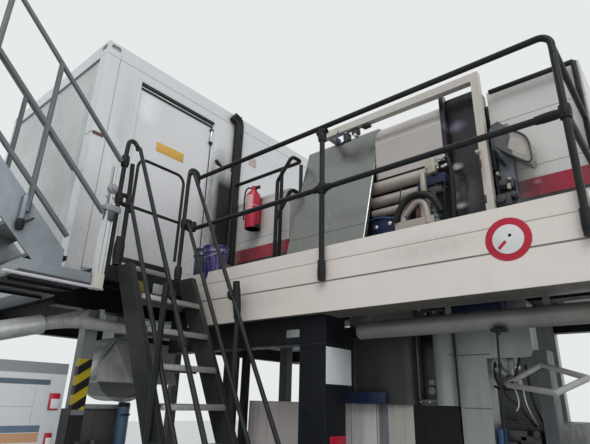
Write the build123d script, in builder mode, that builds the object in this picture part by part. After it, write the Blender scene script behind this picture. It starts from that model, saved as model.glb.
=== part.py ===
from build123d import *
from math import cos, radians, sin, sqrt, tan
import os

# Flexographic printing press with its cabin, walkway, ship ladder and stairs.
# Frame: origin under the centre of the walkway's front column, +X along the fascia
# towards the free end of the walkway, +Y into the press, +Z up. Millimetres.

# Clearances
seat = 0.3
running = 6.0

# Rail tubes are drawn with 12 sides to keep the facets down
tube_sides = 12
drum_sides = 36
duct_sides = 16

# Cabin: a steel room of container size on a support frame
cabin_length = 6058.0
cabin_width = 2438.0
cabin_height = 2591.0
cabin_face_x = -1930.0
cabin_left_y = -1165.0
cabin_base_z = 2520.0
cabin_wall = 60.0
cabin_wall_inset = 20.0
cabin_post = 150.0
cabin_rail = 160.0
cabin_ceiling = 80.0
cabin_floor_height = 300.0
casting_size = 178.0
casting_height = 118.0
casting_slot = 60.0
casting_slot_length = 110.0
casting_slot_depth = 30.0
casting_slot_corner = 18.0
door_left_y = -731.0
door_width = 1012.0
door_sill = 30.0
door_head = 101.0
door_jamb = 45.0
door_thickness = 45.0
door_recess = 12.0
hinge_radius = 8.0
hinge_length = 60.0
hinge_lug = 40.0
hinge_margin = 300.0
hinge_count = 3
support_beam = 200.0
support_beam_width = 150.0
support_column = 115.0
support_inset = 290.0
beam_web = 10.0
beam_flange = 14.0
conduit_radius = 18.0
conduit_count = 3
conduit_first_y = 640.0
conduit_pitch = 37.0
conduit_base = 3140.0
wire_duct_left_y = 345.0
wire_duct_right_y = 600.0
wire_duct_depth = 45.0
wire_duct_top = 4250.0

# Walkway beside the press
deck_top = 2600.0
deck_thickness = 40.0
fascia_y = -220.0
fascia_top = 2685.0
fascia_bottom = 2200.0
fascia_depth = 60.0
soffit_back_y = 60.0
fascia_plate = 8.0
fascia_folds = [2418.0, 2570.0]
fold_width = 12.0
fold_depth = 5.0
walkway_end_x = 1895.0
walkway_depth = 980.0
beam_height = 240.0
beam_width = 120.0
column_size = 240.0
foot_plate = 380.0
foot_thickness = 20.0
foot_bolt_radius = 11.0
foot_bolt_spacing = 310.0
back_column_x = -1230.0
back_column_size = 60.0
bearer_end_x = -1750.0
bearer_base = 2000.0
bearer_depth = 150.0
joist_width = 60.0
joist_height = 120.0
joist_xs = [-1500.0, -1000.0, -500.0, 300.0, 900.0, 1500.0]

# Railings
rail_radius = 21.0
socket_radius = 29.0
socket_height = 70.0
rail_top = 3690.0
rail_mid = 3147.0
rail_bend = 75.0
rail_foot = 2420.0
rail_foot_height = 150.0
mid_post_x = 175.0

# Railing between the cabin and the machine, and the one in front of the right housing
back_rail_y = 700.0
back_rail_top = 4102.0
back_post_x = -1120.0
loop_x = -836.0
loop_front_y = 543.0
loop_foot_x = -1037.0
loop_drop = 242.0
mid_loop_top = 3709.0
mid_loop_foot = 3416.0
right_rail_x = 1225.0
fitting_bend = 45.0

# Ladder head, gate and ladder
head_x = -1400.0
outer_post_y = -1050.0
landing_edge_x = -1360.0
ladder_left_y = -970.0
ladder_right_y = -360.0
ladder_angle = 62.2
ladder_risers = 10
stringer_depth = 180.0
stringer_thickness = 45.0
tread_depth = 240.0
tread_height = 35.0
tread_plate = 5.0
handrail_reach = 75.0
handrail_end_x = 40.0
ladder_post_xs = [-605.0, -20.0]
ladder_post_head = 30.0
gate_top = 3640.0
gate_mid_drop = 480.0
gate_leg_drop = 860.0
gate_tail = 60.0
gate_length = 507.0
gate_radius = 14.0
gate_bend = 90.0
gate_lug = 16.0
duct_post_width = 70.0
flute_count = 4
duct_post_foot = 80.0
duct_post_base = 2390.0
duct_post_top = 2960.0
duct_post_box = 120.0
duct_post_pipe = 12.0
duct_post_pipe_top = 3490.0

# Landing and left stair
landing_height = 120.0
landing_plate = 8.0
landing_rib = 40.0
landing_columns = 2
landing_rows = 3
stair_width = 665.0
stair_toe_y = -1372.0
stair_foot_top = 2510.0
stair_foot_height = 100.0
stair_foot_front_y = -1700.0
stair_foot_far_x = -2300.0
stair_cut_y = -1410.0
stair_rise = 200.0
stair_going = 205.0
stair_steps = 7
stair_plate = 12.0
stair_plate_depth = 337.0
stair_tread_depth = 240.0
stair_rail_heights = [1192.0, 606.0, 92.0]
stair_low_rail_y = -1420.0
stair_wall_gap = 25.0
stair_post_ys = [-1740.0, -2200.0, -2700.0]
upper_landing_length = 800.0
upper_landing_leg = 100.0
upper_leg_inset = 60.0

# Press: side frames, drum and rollers
press_left_x = -100.0
press_column_x = 825.0
press_right_x = 1030.0
press_arm_x = 1332.0
press_arm_base = 1909.0
press_arm_top = 2300.0
press_arm_round = 40.0
press_front_y = 480.0
press_recess = 40.0
press_back_y = 2660.0
frame_thickness = 110.0
window_low = 1605.0
window_high = 2240.0
window_left_x = 500.0
window_right_x = 790.0
window_round = 30.0
drum_radius = 430.0
drum_x = 380.0
drum_z = 1100.0
journal_radius = 60.0
roller_neck = 130.0
roller_radius = 90.0
roller_journal = 35.0
roller_gap = 6.0
roller_angles = [-15.0, 35.0, 145.0, 195.0]
cross_beam_size = 120.0
cross_beam_xs = [40.0, 860.0]

# Covers and cabinets in front of and beside the press
cover_left_x = -36.0
cover_right_x = 500.0
cover_depth = 90.0
cover_round = 60.0
junction_height = 80.0
junction_depth = 30.0
junction_right_x = 170.0
cover_top = 2100.0
panel_top = 1600.0
panel_edges = [-1200.0, -60.0, 170.0, 480.0, 815.0]
panel_depth = 60.0
end_column_width = 80.0
end_column_depth = 160.0
end_column_top = 1950.0
guide_radius = 72.0
guide_x = 748.0
guide_top = 2240.0
screen_depth = 20.0
screen_recess = 60.0
drive_depth = 1500.0
drive_top = 1500.0
arm_radius = 17.0
arm_corners = [
    (1146.0, 0.0, 1738.0),
    (1374.0, 0.0, 1858.0),
    (1681.0, -362.0, 1757.0),
    (1515.0, -362.0, 1681.0),
]
end_cabinet_low = (1560.0, 1200.0)
end_cabinet_high = (2350.0, 1700.0)
end_cabinet_top = 1500.0

# Machine and housings at deck level
core_front_y = 960.0
core_top = 4147.0
core_left_x = -810.0
core_right_x = 1187.0
guard_right_x = 100.0
guard_lean = 0.267
guard_foot_y = 405.0
guard_top = 4230.0
guard_thickness = 30.0
hood_left_x = 110.0
hood_right_x = 790.0
hood_front_y = 700.0
hood_base = 3600.0
hood_round = 300.0
hood_top = 4270.0
dark_right_x = 1119.0
dark_front_y = 780.0
dark_top = 4237.0
dark_round = 40.0
pipes_y = 740.0
pipe_start_x = 40.0
pipe_heights = [3530.0, 3385.0, 3270.0]
pipe_radii = [62.0, 52.0, 42.0]
pipe_end_xs = [640.0, 740.0, 420.0]
pipe_link_xs = [590.0, 640.0, 372.0]
pipe_link_radius = 30.0
manifold_base = 3000.0
manifold_top = 3080.0
manifold_left_x = 330.0
manifold_right_x = 690.0
bend_left_x = 400.0
bend_right_x = 600.0
bend_top = 3255.0
bend_y = 640.0
bend_round = 85.0
gantry_left_x = 1121.0
gantry_size = 66.0
gantry_y = 580.0
gantry_gap = 45.0
gantry_beam = 78.0
gantry_end_x = -458.0
gantry_bar = 34.0
side_plate_right_x = 1335.0
side_plate_depth = 58.0
side_plate_top = 3760.0
arm_box_front_y = 560.0
arm_box_outline = [(1290, 3560), (1413, 3624), (1500, 3570), (1505, 3400), (1458, 3314), (1400, 3345)]
housing_front_y = 760.0
housing_gap_x = -1040.0
housing_left_top = 3865.0
housing_right_top = 4147.0

# Duct under the walkway
duct_radius = 62.0
duct_y = 150.0
duct_z = 2106.0
duct_start_x = 240.0
strap_width = 40.0
strap_thickness = 6.0

# Fan, flexible duct and console under the cabin
fan_y = -320.0
fan_z = 1860.0
fan_radius = 300.0
fan_left_x = -2450.0
fan_right_x = -2110.0
fan_outlet = 220.0
fan_hood_depth = 170.0
fan_hood_lip = 40.0
fan_hood_base = 1725.0
fan_hood_top = 2110.0
fan_hood_foot = (-705.0, 160.0)
fan_hood_head = (-470.0, 130.0)
flex_radius = 50.0
flex_x = -1865.0
flex_route = [(-1272.0, 2135.0), (-1050.0, 2190.0), (-250.0, 2190.0), (340.0, 2160.0)]
flex_round = 1500.0
flex_strap_ys = [-800.0, -400.0]
main_duct_radius = 75.0
main_duct_end = (-2350.0, 1810.0)
console_right_x = -1400.0
console_length = 900.0
console_front_y = -1950.0
console_depth = 740.0
console_height = 1815.0

# Extinguisher on the left housing
extinguisher_x = -1507.0
extinguisher_drop = 668.0
extinguisher_radius = 85.0
extinguisher_height = 480.0
extinguisher_shoulder = 70.0
shoulder_taper = 35.0
extinguisher_neck = 26.0
extinguisher_bracket = 30.0

# Values worked out from the sizes above
cabin_far_x = cabin_face_x - cabin_width
cabin_right_y = cabin_left_y + cabin_length
cabin_top_z = cabin_base_z + cabin_height
sill_base_z = cabin_base_z + cabin_rail
floor_top_z = cabin_base_z + cabin_floor_height
roof_base_z = cabin_top_z - cabin_rail
door_base_z = floor_top_z + door_sill
door_top_z = roof_base_z - door_jamb - door_head
door_height = door_top_z - door_base_z
door_right_y = door_left_y + door_width
hinge_x = cabin_face_x - cabin_wall - hinge_radius
hinge_y = door_right_y - running
hinge_pitch = (door_height - 2 * hinge_margin) / (hinge_count - 1)
hinge_zs = [door_base_z + hinge_margin + hinge_pitch * count for count in range(hinge_count)]
support_top = cabin_base_z - support_beam
deck_base = deck_top - deck_thickness
beam_base = deck_base - beam_height
deck_front_y = fascia_y + fascia_plate
corner_post_x = walkway_end_x - fascia_plate - rail_radius - seat
deck_back_y = fascia_y + walkway_depth
rail_y = fascia_y - socket_radius - seat
slope = tan(radians(ladder_angle))
stringer_half = stringer_depth / 2 / sin(radians(ladder_angle))
ladder_top_x = landing_edge_x + seat + stringer_half
ladder_foot_x = ladder_top_x + deck_top / slope
gate_hinge_y = ladder_left_y + socket_radius + running + gate_radius
gate_free_y = gate_hinge_y + gate_length
gate_mid = gate_top - gate_mid_drop
landing_left_y = outer_post_y - socket_radius
landing_base = deck_top - landing_height
stringer_left_y = ladder_left_y - rail_radius
stringer_right_y = ladder_right_y + rail_radius
beam_back_y = press_front_y - beam_width
plate_front_y = press_front_y + press_recess
plate_back_y = plate_front_y + frame_thickness
rear_front_y = press_back_y - frame_thickness
end_column_left_x = press_arm_x + seat
stair_slope = stair_rise / stair_going
stair_top = deck_top + stair_steps * stair_rise
stair_top_y = stair_toe_y - stair_steps * stair_going
stair_near_x = head_x
stair_far_x = head_x - stair_width
stair_foot_y = stair_toe_y + (deck_top - stair_foot_top) / stair_slope
gantry_base = core_top + gantry_gap
cover_base = panel_top + seat
cover_front_y = plate_front_y - cover_depth
housing_back_y = press_back_y
extinguisher_base = back_rail_top - extinguisher_drop

os.makedirs("parts", exist_ok=True)


def block(low, high, mode=Mode.ADD):
    with Locations(tuple(low)):
        Box(
            high[0] - low[0],
            high[1] - low[1],
            high[2] - low[2],
            align=(Align.MIN, Align.MIN, Align.MIN),
            mode=mode,
        )


def rod(start, end, radius, mode=Mode.ADD):
    run = Vector(*end) - Vector(*start)
    with BuildSketch(Plane(origin=start, z_dir=run)) as disc:
        Circle(radius)
    extrude(disc.sketch, amount=run.length, mode=mode)


def tube(start, end, radius=rail_radius, sides=tube_sides):
    run = Vector(*end) - Vector(*start)
    with BuildSketch(Plane(origin=start, z_dir=run)) as section:
        RegularPolygon(radius, sides)
    extrude(section.sketch, amount=run.length)


def bent_tube(points, bend, radius=rail_radius):
    with BuildLine() as route:
        FilletPolyline(*points, radius=bend)
    with BuildSketch(Plane(origin=route.line @ 0, z_dir=route.line % 0)) as section:
        RegularPolygon(radius, tube_sides)
    sweep(section.sketch, path=route.line)


def socket(x, y, z):
    tube((x, y, z - socket_height / 2), (x, y, z + socket_height / 2), socket_radius)


def i_beam(start, end, width, height):
    run = Vector(*end) - Vector(*start)
    with BuildSketch(Plane(origin=start, x_dir=(-run.Y, run.X, 0), z_dir=run)) as section:
        Rectangle(width, height)
        with Locations((-(width + beam_web) / 4, 0), ((width + beam_web) / 4, 0)):
            Rectangle((width - beam_web) / 2, height - 2 * beam_flange, mode=Mode.SUBTRACT)
    extrude(section.sketch, amount=run.length)


def side_profile(points, low_x, high_x):
    with BuildSketch(Plane.YZ.offset(low_x)) as outline:
        with BuildLine():
            Polyline(*points, close=True)
        make_face()
    extrude(outline.sketch, amount=high_x - low_x)


def front_profile(points, low_y, high_y):
    with BuildSketch(Plane.XZ.offset(-high_y)) as outline:
        with BuildLine():
            Polyline(*points, close=True)
        make_face()
    extrude(outline.sketch, amount=high_y - low_y)


def corner_cuts(size, low, high):
    for corner_x in (cabin_far_x, cabin_face_x - size):
        for corner_y in (cabin_left_y, cabin_right_y - size):
            block((corner_x, corner_y, low), (corner_x + size, corner_y + size, high), Mode.SUBTRACT)


def save(piece, name):
    piece.part.label = name
    export_step(piece.part, "parts/" + name + ".step")


# Cabin floor: base rails, and the raised floor between the walls
with BuildPart() as cabin_floor:
    block(
        (cabin_far_x, cabin_left_y, cabin_base_z),
        (cabin_face_x, cabin_right_y, sill_base_z),
    )
    block(
        (
            cabin_far_x + cabin_wall_inset + cabin_wall,
            cabin_left_y + cabin_wall_inset + cabin_wall,
            sill_base_z,
        ),
        (cabin_face_x - cabin_wall, cabin_right_y - cabin_wall_inset - cabin_wall, floor_top_z),
    )
    corner_cuts(cabin_post, cabin_base_z, floor_top_z)
    corner_cuts(casting_size, cabin_base_z, cabin_base_z + casting_height)
save(cabin_floor, "cabin_floor")

# Cabin roof: top rails round the roof panel
with BuildPart() as cabin_roof:
    block(
        (cabin_far_x, cabin_left_y, roof_base_z),
        (cabin_face_x, cabin_right_y, cabin_top_z),
    )
    block(
        (cabin_far_x + cabin_ceiling, cabin_left_y + cabin_ceiling, roof_base_z),
        (cabin_face_x - cabin_ceiling, cabin_right_y - cabin_ceiling, cabin_top_z - cabin_ceiling),
        Mode.SUBTRACT,
    )
    corner_cuts(cabin_post, roof_base_z, cabin_top_z)
    corner_cuts(casting_size, cabin_top_z - casting_height, cabin_top_z)
save(cabin_roof, "cabin_roof")

# Corner posts with the castings at both ends
with BuildPart() as cabin_corner_posts:
    for side_x in (0, 1):
        for side_y in (0, 1):
            post_x = cabin_far_x + side_x * (cabin_width - cabin_post)
            post_y = cabin_left_y + side_y * (cabin_length - cabin_post)
            cast_x = cabin_far_x + side_x * (cabin_width - casting_size)
            cast_y = cabin_left_y + side_y * (cabin_length - casting_size)
            block((post_x, post_y, cabin_base_z), (post_x + cabin_post, post_y + cabin_post, cabin_top_z))
            for cast_z in (cabin_base_z, cabin_top_z - casting_height):
                block(
                    (cast_x, cast_y, cast_z),
                    (cast_x + casting_size, cast_y + casting_size, cast_z + casting_height),
                )
                middle_x = cast_x + casting_size / 2
                middle_y = cast_y + casting_size / 2
                middle_z = cast_z + casting_height / 2
                outer_x = cabin_far_x + side_x * (cabin_width - casting_slot_depth)
                outer_y = cabin_left_y + side_y * (cabin_length - casting_slot_depth)
                with BuildSketch(Plane.YZ.offset(outer_x)) as side_slot:
                    with Locations((middle_y, middle_z)):
                        Rectangle(casting_slot_length, casting_slot)
                    chamfer(side_slot.vertices(), casting_slot_corner)
                extrude(side_slot.sketch, amount=casting_slot_depth, mode=Mode.SUBTRACT)
                with BuildSketch(Plane.XZ.offset(-outer_y - casting_slot_depth)) as end_slot:
                    with Locations((middle_x, middle_z)):
                        Rectangle(casting_slot_length, casting_slot)
                    chamfer(end_slot.vertices(), casting_slot_corner)
                extrude(end_slot.sketch, amount=casting_slot_depth, mode=Mode.SUBTRACT)
save(cabin_corner_posts, "cabin_corner_posts")

# Left, right and far walls stand a little inside the posts and rails
with BuildPart() as cabin_walls:
    for wall_y in (cabin_left_y + cabin_wall_inset, cabin_right_y - cabin_wall_inset - cabin_wall):
        block(
            (cabin_far_x + cabin_post, wall_y, sill_base_z),
            (cabin_face_x - cabin_post, wall_y + cabin_wall, roof_base_z),
        )
    block(
        (cabin_far_x + cabin_wall_inset, cabin_left_y + cabin_post, sill_base_z),
        (cabin_far_x + cabin_wall_inset + cabin_wall, cabin_right_y - cabin_post, roof_base_z),
    )
save(cabin_walls, "cabin_walls")

# Door wall: split beside and over the doorway
with BuildPart() as door_wall:
    for low_y, high_y in (
        (cabin_left_y + cabin_post, door_left_y - door_jamb),
        (door_right_y + door_jamb, cabin_right_y - cabin_post),
    ):
        block((cabin_face_x - cabin_wall, low_y, sill_base_z), (cabin_face_x, high_y, roof_base_z))
    block(
        (cabin_face_x - cabin_wall, door_left_y - door_jamb + seat, door_top_z + door_jamb),
        (cabin_face_x, door_right_y + door_jamb - seat, roof_base_z),
    )
save(door_wall, "door_wall")

# Door frame with its threshold and the fixed hinge knuckles on its inner face
with BuildPart() as door_frame:
    block(
        (cabin_face_x - cabin_wall, door_left_y - door_jamb, sill_base_z),
        (cabin_face_x, door_right_y + door_jamb, door_top_z + door_jamb),
    )
    block(
        (cabin_face_x - cabin_wall, door_left_y, door_base_z),
        (cabin_face_x, door_right_y, door_top_z),
        Mode.SUBTRACT,
    )
    for knuckle_z in hinge_zs:
        tube((hinge_x, hinge_y, knuckle_z - hinge_length), (hinge_x, hinge_y, knuckle_z), hinge_radius)
        block(
            (hinge_x - hinge_radius / 2, hinge_y, knuckle_z - hinge_length),
            (cabin_face_x - cabin_wall, door_right_y + door_jamb, knuckle_z),
        )
save(door_frame, "door_frame")

# Door leaf, flush in the frame and opening inwards
with BuildPart() as cabin_door:
    block(
        (cabin_face_x - door_recess - door_thickness, door_left_y + running, door_base_z + running),
        (cabin_face_x - door_recess, door_right_y - running, door_top_z - running),
    )
    for knuckle_base in hinge_zs:
        knuckle_z = knuckle_base + seat
        tube((hinge_x, hinge_y, knuckle_z), (hinge_x, hinge_y, knuckle_z + hinge_length), hinge_radius)
        block(
            (hinge_x - hinge_radius / 2, hinge_y - hinge_lug, knuckle_z),
            (cabin_face_x - door_recess - door_thickness, hinge_y, knuckle_z + hinge_length),
        )
save(cabin_door, "cabin_door")

# Conduits and a wire duct on the cabin's face
with BuildPart() as cabin_wiring:
    for count in range(conduit_count):
        conduit_y = conduit_first_y + count * conduit_pitch
        conduit_x = cabin_face_x + seat + conduit_radius
        tube((conduit_x, conduit_y, conduit_base), (conduit_x, conduit_y, cabin_top_z), conduit_radius)
    block(
        (cabin_face_x, wire_duct_left_y, floor_top_z),
        (cabin_face_x + wire_duct_depth, wire_duct_right_y, wire_duct_top),
    )
save(cabin_wiring, "cabin_wiring")

# Frame and columns that carry the cabin
support_ys = [
    cabin_left_y + support_inset,
    cabin_left_y + (cabin_length - support_column) / 2,
    cabin_right_y - support_inset - support_column,
]
with BuildPart() as cabin_support_beams:
    beam_z = support_top + support_beam / 2
    for beam_x in (cabin_far_x, cabin_face_x - support_beam_width):
        middle_x = beam_x + support_beam_width / 2
        i_beam(
            (middle_x, cabin_left_y, beam_z),
            (middle_x, cabin_right_y, beam_z),
            support_beam_width,
            support_beam,
        )
    for beam_y in support_ys:
        middle_y = beam_y + support_column / 2
        i_beam(
            (cabin_far_x + support_beam_width + seat, middle_y, beam_z),
            (cabin_face_x - support_beam_width - seat, middle_y, beam_z),
            support_beam_width,
            support_beam,
        )
save(cabin_support_beams, "cabin_support_beams")

with BuildPart() as cabin_columns:
    for column_x in (cabin_far_x, cabin_face_x - support_column):
        for column_y in support_ys:
            block(
                (column_x, column_y, 0),
                (column_x + support_column, column_y + support_column, support_top),
            )
save(cabin_columns, "cabin_columns")

# Walkway deck, folded fascia, beams and columns
with BuildPart() as walkway_deck:
    block(
        (cabin_face_x, deck_front_y, deck_base),
        (walkway_end_x - fascia_plate, deck_back_y, deck_top),
    )
save(walkway_deck, "walkway_deck")

with BuildPart() as fascia:
    inner_y = fascia_y + fascia_plate
    outline = [(fascia_y, fascia_bottom)]
    for fold in fascia_folds:
        outline += [
            (fascia_y, fold - fold_width / 2),
            (fascia_y + fold_depth, fold),
            (fascia_y, fold + fold_width / 2),
        ]
    outline += [
        (fascia_y, fascia_top),
        (fascia_y + fascia_depth, fascia_top),
        (fascia_y + fascia_depth, fascia_top - fascia_plate),
        (inner_y, fascia_top - fascia_plate),
        (inner_y, fascia_bottom + fascia_plate),
        (fascia_y + fascia_depth, fascia_bottom + fascia_plate),
        (fascia_y + fascia_depth, fascia_bottom),
    ]
    side_profile(outline, landing_edge_x, walkway_end_x)
    block(
        (walkway_end_x - fascia_plate, fascia_y, fascia_bottom),
        (walkway_end_x, deck_back_y, fascia_top),
    )
    block(
        (column_size / 2 + seat, inner_y, fascia_bottom),
        (walkway_end_x, soffit_back_y, fascia_bottom + fascia_plate),
    )
save(fascia, "fascia")

with BuildPart() as walkway_beams:
    for beam_y in (0, beam_back_y + beam_width / 2):
        i_beam(
            (cabin_face_x, beam_y, beam_base + beam_height / 2),
            (walkway_end_x - fascia_plate, beam_y, beam_base + beam_height / 2),
            beam_width,
            beam_height,
        )
    for joist_x in joist_xs:
        block(
            (joist_x, beam_width / 2 + seat, deck_base - joist_height),
            (joist_x + joist_width, beam_back_y - seat, deck_base),
        )
    block(
        (bearer_end_x, -column_size / 2, bearer_base),
        (-column_size / 2 - seat, bearer_depth - column_size / 2, beam_base),
    )
save(walkway_beams, "walkway_beams")

with BuildPart() as front_column:
    block((-column_size / 2, -column_size / 2, foot_thickness), (column_size / 2, column_size / 2, beam_base))
    block((-foot_plate / 2, -foot_plate / 2, 0), (foot_plate / 2, foot_plate / 2, foot_thickness))
    with BuildSketch(Plane.XY) as foot_bolts:
        with GridLocations(foot_bolt_spacing, foot_bolt_spacing, 2, 2):
            Circle(foot_bolt_radius)
    extrude(foot_bolts.sketch, amount=foot_thickness, mode=Mode.SUBTRACT)
save(front_column, "front_column")

with BuildPart() as back_columns:
    for column_x in (back_column_x, walkway_end_x - fascia_plate - back_column_size):
        block(
            (column_x, beam_back_y, 0),
            (column_x + back_column_size, beam_back_y + back_column_size, beam_base),
        )
save(back_columns, "back_columns")

# Front railing: foot sockets on the fascia, continuous top rail with a bent corner
with BuildPart() as railing_posts:
    tube((mid_post_x, rail_y, rail_foot), (mid_post_x, rail_y, rail_top - rail_radius - seat))
    socket(mid_post_x, rail_y, rail_mid)
    socket(mid_post_x, rail_y, rail_top - rail_radius - seat - socket_height / 2)
    for post_x in (mid_post_x, corner_post_x):
        tube((post_x, rail_y, rail_foot), (post_x, rail_y, rail_foot + rail_foot_height), socket_radius)
    tube(
        (corner_post_x, rail_y, rail_foot + rail_foot_height),
        (corner_post_x, rail_y, rail_top - rail_bend - socket_height),
    )
    socket(corner_post_x, rail_y, rail_mid)
save(railing_posts, "railing_posts")

with BuildPart() as railing_rails:
    bent_tube(
        [
            (head_x + socket_radius + seat, rail_y, rail_top),
            (corner_post_x, rail_y, rail_top),
            (corner_post_x, rail_y, rail_top - rail_bend - socket_height + seat),
        ],
        rail_bend,
    )
    for start_x, end_x in ((head_x, mid_post_x), (mid_post_x, corner_post_x)):
        tube(
            (start_x + socket_radius + seat, rail_y, rail_mid),
            (end_x - socket_radius - seat, rail_y, rail_mid),
        )
save(railing_rails, "railing_rails")

# End railing runs back from the corner post to the far post, then on before the right housing
with BuildPart() as end_railing:
    tube((corner_post_x, back_rail_y, deck_top), (corner_post_x, back_rail_y, back_rail_top))
    tube(
        (corner_post_x, rail_y + rail_radius + seat, rail_top - rail_bend - rail_radius),
        (corner_post_x, back_rail_y - rail_radius, rail_top - rail_bend - rail_radius),
    )
    tube(
        (corner_post_x, rail_y + socket_radius + seat, rail_mid),
        (corner_post_x, back_rail_y - rail_radius, rail_mid),
    )
    tube(
        (right_rail_x, back_rail_y, back_rail_top),
        (corner_post_x, back_rail_y, back_rail_top),
    )
save(end_railing, "end_railing")

# Hooped railing between the cabin and the machine
with BuildPart() as back_railing:
    bent_tube(
        [
            (cabin_face_x + 2 * (conduit_radius + seat), back_rail_y, back_rail_top),
            (loop_x, back_rail_y, back_rail_top),
            (loop_x, loop_front_y, back_rail_top),
            (loop_foot_x, loop_front_y, back_rail_top - loop_drop),
            (loop_foot_x, loop_front_y, deck_top),
        ],
        fitting_bend,
    )
    bent_tube(
        [
            (loop_x, back_rail_y, mid_loop_top),
            (loop_x, loop_front_y, mid_loop_top),
            (loop_foot_x, loop_front_y, mid_loop_foot),
        ],
        fitting_bend,
    )
    tube((loop_x, back_rail_y, deck_top), (loop_x, back_rail_y, back_rail_top - fitting_bend))
    tube((back_post_x, back_rail_y, deck_top), (back_post_x, back_rail_y, back_rail_top))
save(back_railing, "back_railing")

# Ladder head: gate posts on the landing's edge, with the lug that carries the gate
head_post_ys = [outer_post_y, ladder_left_y, ladder_right_y, rail_y]
with BuildPart() as ladder_head_posts:
    for post_y in head_post_ys:
        tube((head_x, post_y, deck_top), (head_x, post_y, rail_top + socket_height / 2))
        socket(head_x, post_y, rail_mid)
        socket(head_x, post_y, rail_top)
    block(
        (head_x - gate_radius, ladder_left_y, gate_mid - gate_tail - seat - gate_lug),
        (head_x + gate_radius, gate_hinge_y + gate_radius, gate_mid - gate_tail - seat),
    )
save(ladder_head_posts, "ladder_head_posts")

# Self-closing gate between the two inner posts
with BuildPart() as safety_gate:
    bent_tube(
        [
            (head_x, gate_hinge_y, gate_mid - gate_tail),
            (head_x, gate_hinge_y, gate_top),
            (head_x, gate_free_y, gate_top),
            (head_x, gate_free_y, gate_top - gate_leg_drop),
        ],
        gate_bend,
        gate_radius,
    )
    tube((head_x, gate_hinge_y, gate_mid), (head_x, gate_free_y, gate_mid), gate_radius)
save(safety_gate, "safety_gate")

# Landing at the head of the ladder: plate on a ribbed frame
with BuildPart() as landing_deck:
    block(
        (cabin_face_x, landing_left_y, landing_base),
        (landing_edge_x, fascia_y, deck_top),
    )
    bay_x = (landing_edge_x - cabin_face_x - landing_rib) / landing_columns - landing_rib
    bay_y = (fascia_y - landing_left_y - landing_rib) / landing_rows - landing_rib
    for column in range(landing_columns):
        for row in range(landing_rows):
            low_x = cabin_face_x + landing_rib + column * (bay_x + landing_rib)
            low_y = landing_left_y + landing_rib + row * (bay_y + landing_rib)
            block(
                (low_x, low_y, landing_base),
                (low_x + bay_x, low_y + bay_y, deck_top - landing_plate),
                Mode.SUBTRACT,
            )
save(landing_deck, "landing_deck")

# Fluted cable post with its foot block and its box, beside the landing's outer corner
duct_post_y = landing_left_y - seat - duct_post_foot / 2
with BuildPart() as cable_post:
    flute_pitch = duct_post_width / flute_count
    with Locations((head_x, duct_post_y, (duct_post_base + stair_foot_top) / 2)):
        Box(duct_post_foot, duct_post_foot, stair_foot_top - duct_post_base)
    with BuildSketch(Plane.XY.offset(stair_foot_top)) as fluted:
        with Locations((head_x, duct_post_y)):
            Rectangle(duct_post_width, duct_post_width)
        with Locations((head_x + duct_post_width / 2, duct_post_y)):
            with GridLocations(1, 2 * flute_pitch, 1, 2):
                Rectangle(flute_pitch, flute_pitch / 2, mode=Mode.SUBTRACT)
    extrude(fluted.sketch, amount=duct_post_top - stair_foot_top)
    with Locations((head_x, duct_post_y, duct_post_top + duct_post_box / 2)):
        Box(duct_post_width, duct_post_width, duct_post_box)
    tube(
        (head_x, duct_post_y, duct_post_top + duct_post_box),
        (head_x, duct_post_y, duct_post_pipe_top),
        duct_post_pipe,
    )
save(cable_post, "cable_post")

# Ladder: two stringers with separate folded treads between them
with BuildPart() as ladder_stringers:
    for face_y in (stringer_left_y, stringer_right_y - stringer_thickness):
        front_profile(
            [
                (ladder_foot_x - stringer_half, 0),
                (ladder_foot_x + stringer_half, 0),
                (ladder_top_x + stringer_half, deck_top),
                (ladder_top_x - stringer_half, deck_top),
            ],
            face_y,
            face_y + stringer_thickness,
        )
save(ladder_stringers, "ladder_stringers")

riser = deck_top / ladder_risers
with BuildPart() as ladder_treads:
    low_y = stringer_left_y + stringer_thickness + seat
    high_y = stringer_right_y - stringer_thickness - seat
    for step in range(1, ladder_risers):
        low_x = ladder_foot_x - step * riser / slope - tread_depth / 2
        low_z = step * riser - tread_height
        block((low_x, low_y, low_z), (low_x + tread_depth, high_y, step * riser))
        block(
            (low_x + tread_plate, low_y, low_z),
            (low_x + tread_depth - tread_plate, high_y, step * riser - tread_plate),
            Mode.SUBTRACT,
        )
save(ladder_treads, "ladder_treads")

# Ladder handrails bend level at the top and end at the head posts
bend_x = head_x + handrail_reach
with BuildPart() as ladder_handrails:
    for rail_line_y in (ladder_left_y, ladder_right_y):
        for level in (rail_mid, rail_top):
            bent_tube(
                [
                    (head_x + socket_radius + seat, rail_line_y, level),
                    (bend_x, rail_line_y, level),
                    (handrail_end_x, rail_line_y, level - (handrail_end_x - bend_x) * slope),
                ],
                fitting_bend,
            )
save(ladder_handrails, "ladder_handrails")

with BuildPart() as ladder_posts:
    for post_y in (stringer_left_y - seat - rail_radius, stringer_right_y + seat + rail_radius):
        for post_x in ladder_post_xs:
            foot_z = (ladder_foot_x - post_x) * slope - rail_radius
            head_z = rail_top - (post_x - bend_x) * slope + ladder_post_head
            tube((post_x, post_y, foot_z), (post_x, post_y, head_z))
save(ladder_posts, "ladder_posts")

# Foot landing of the left stair, level with the cabin's support beams and against their ends
with BuildPart() as stair_foot_landing:
    block(
        (stair_foot_far_x, stair_foot_front_y, stair_foot_top - stair_foot_height),
        (stair_near_x, cabin_left_y - seat, stair_foot_top),
    )
save(stair_foot_landing, "stair_foot_landing")

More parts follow.
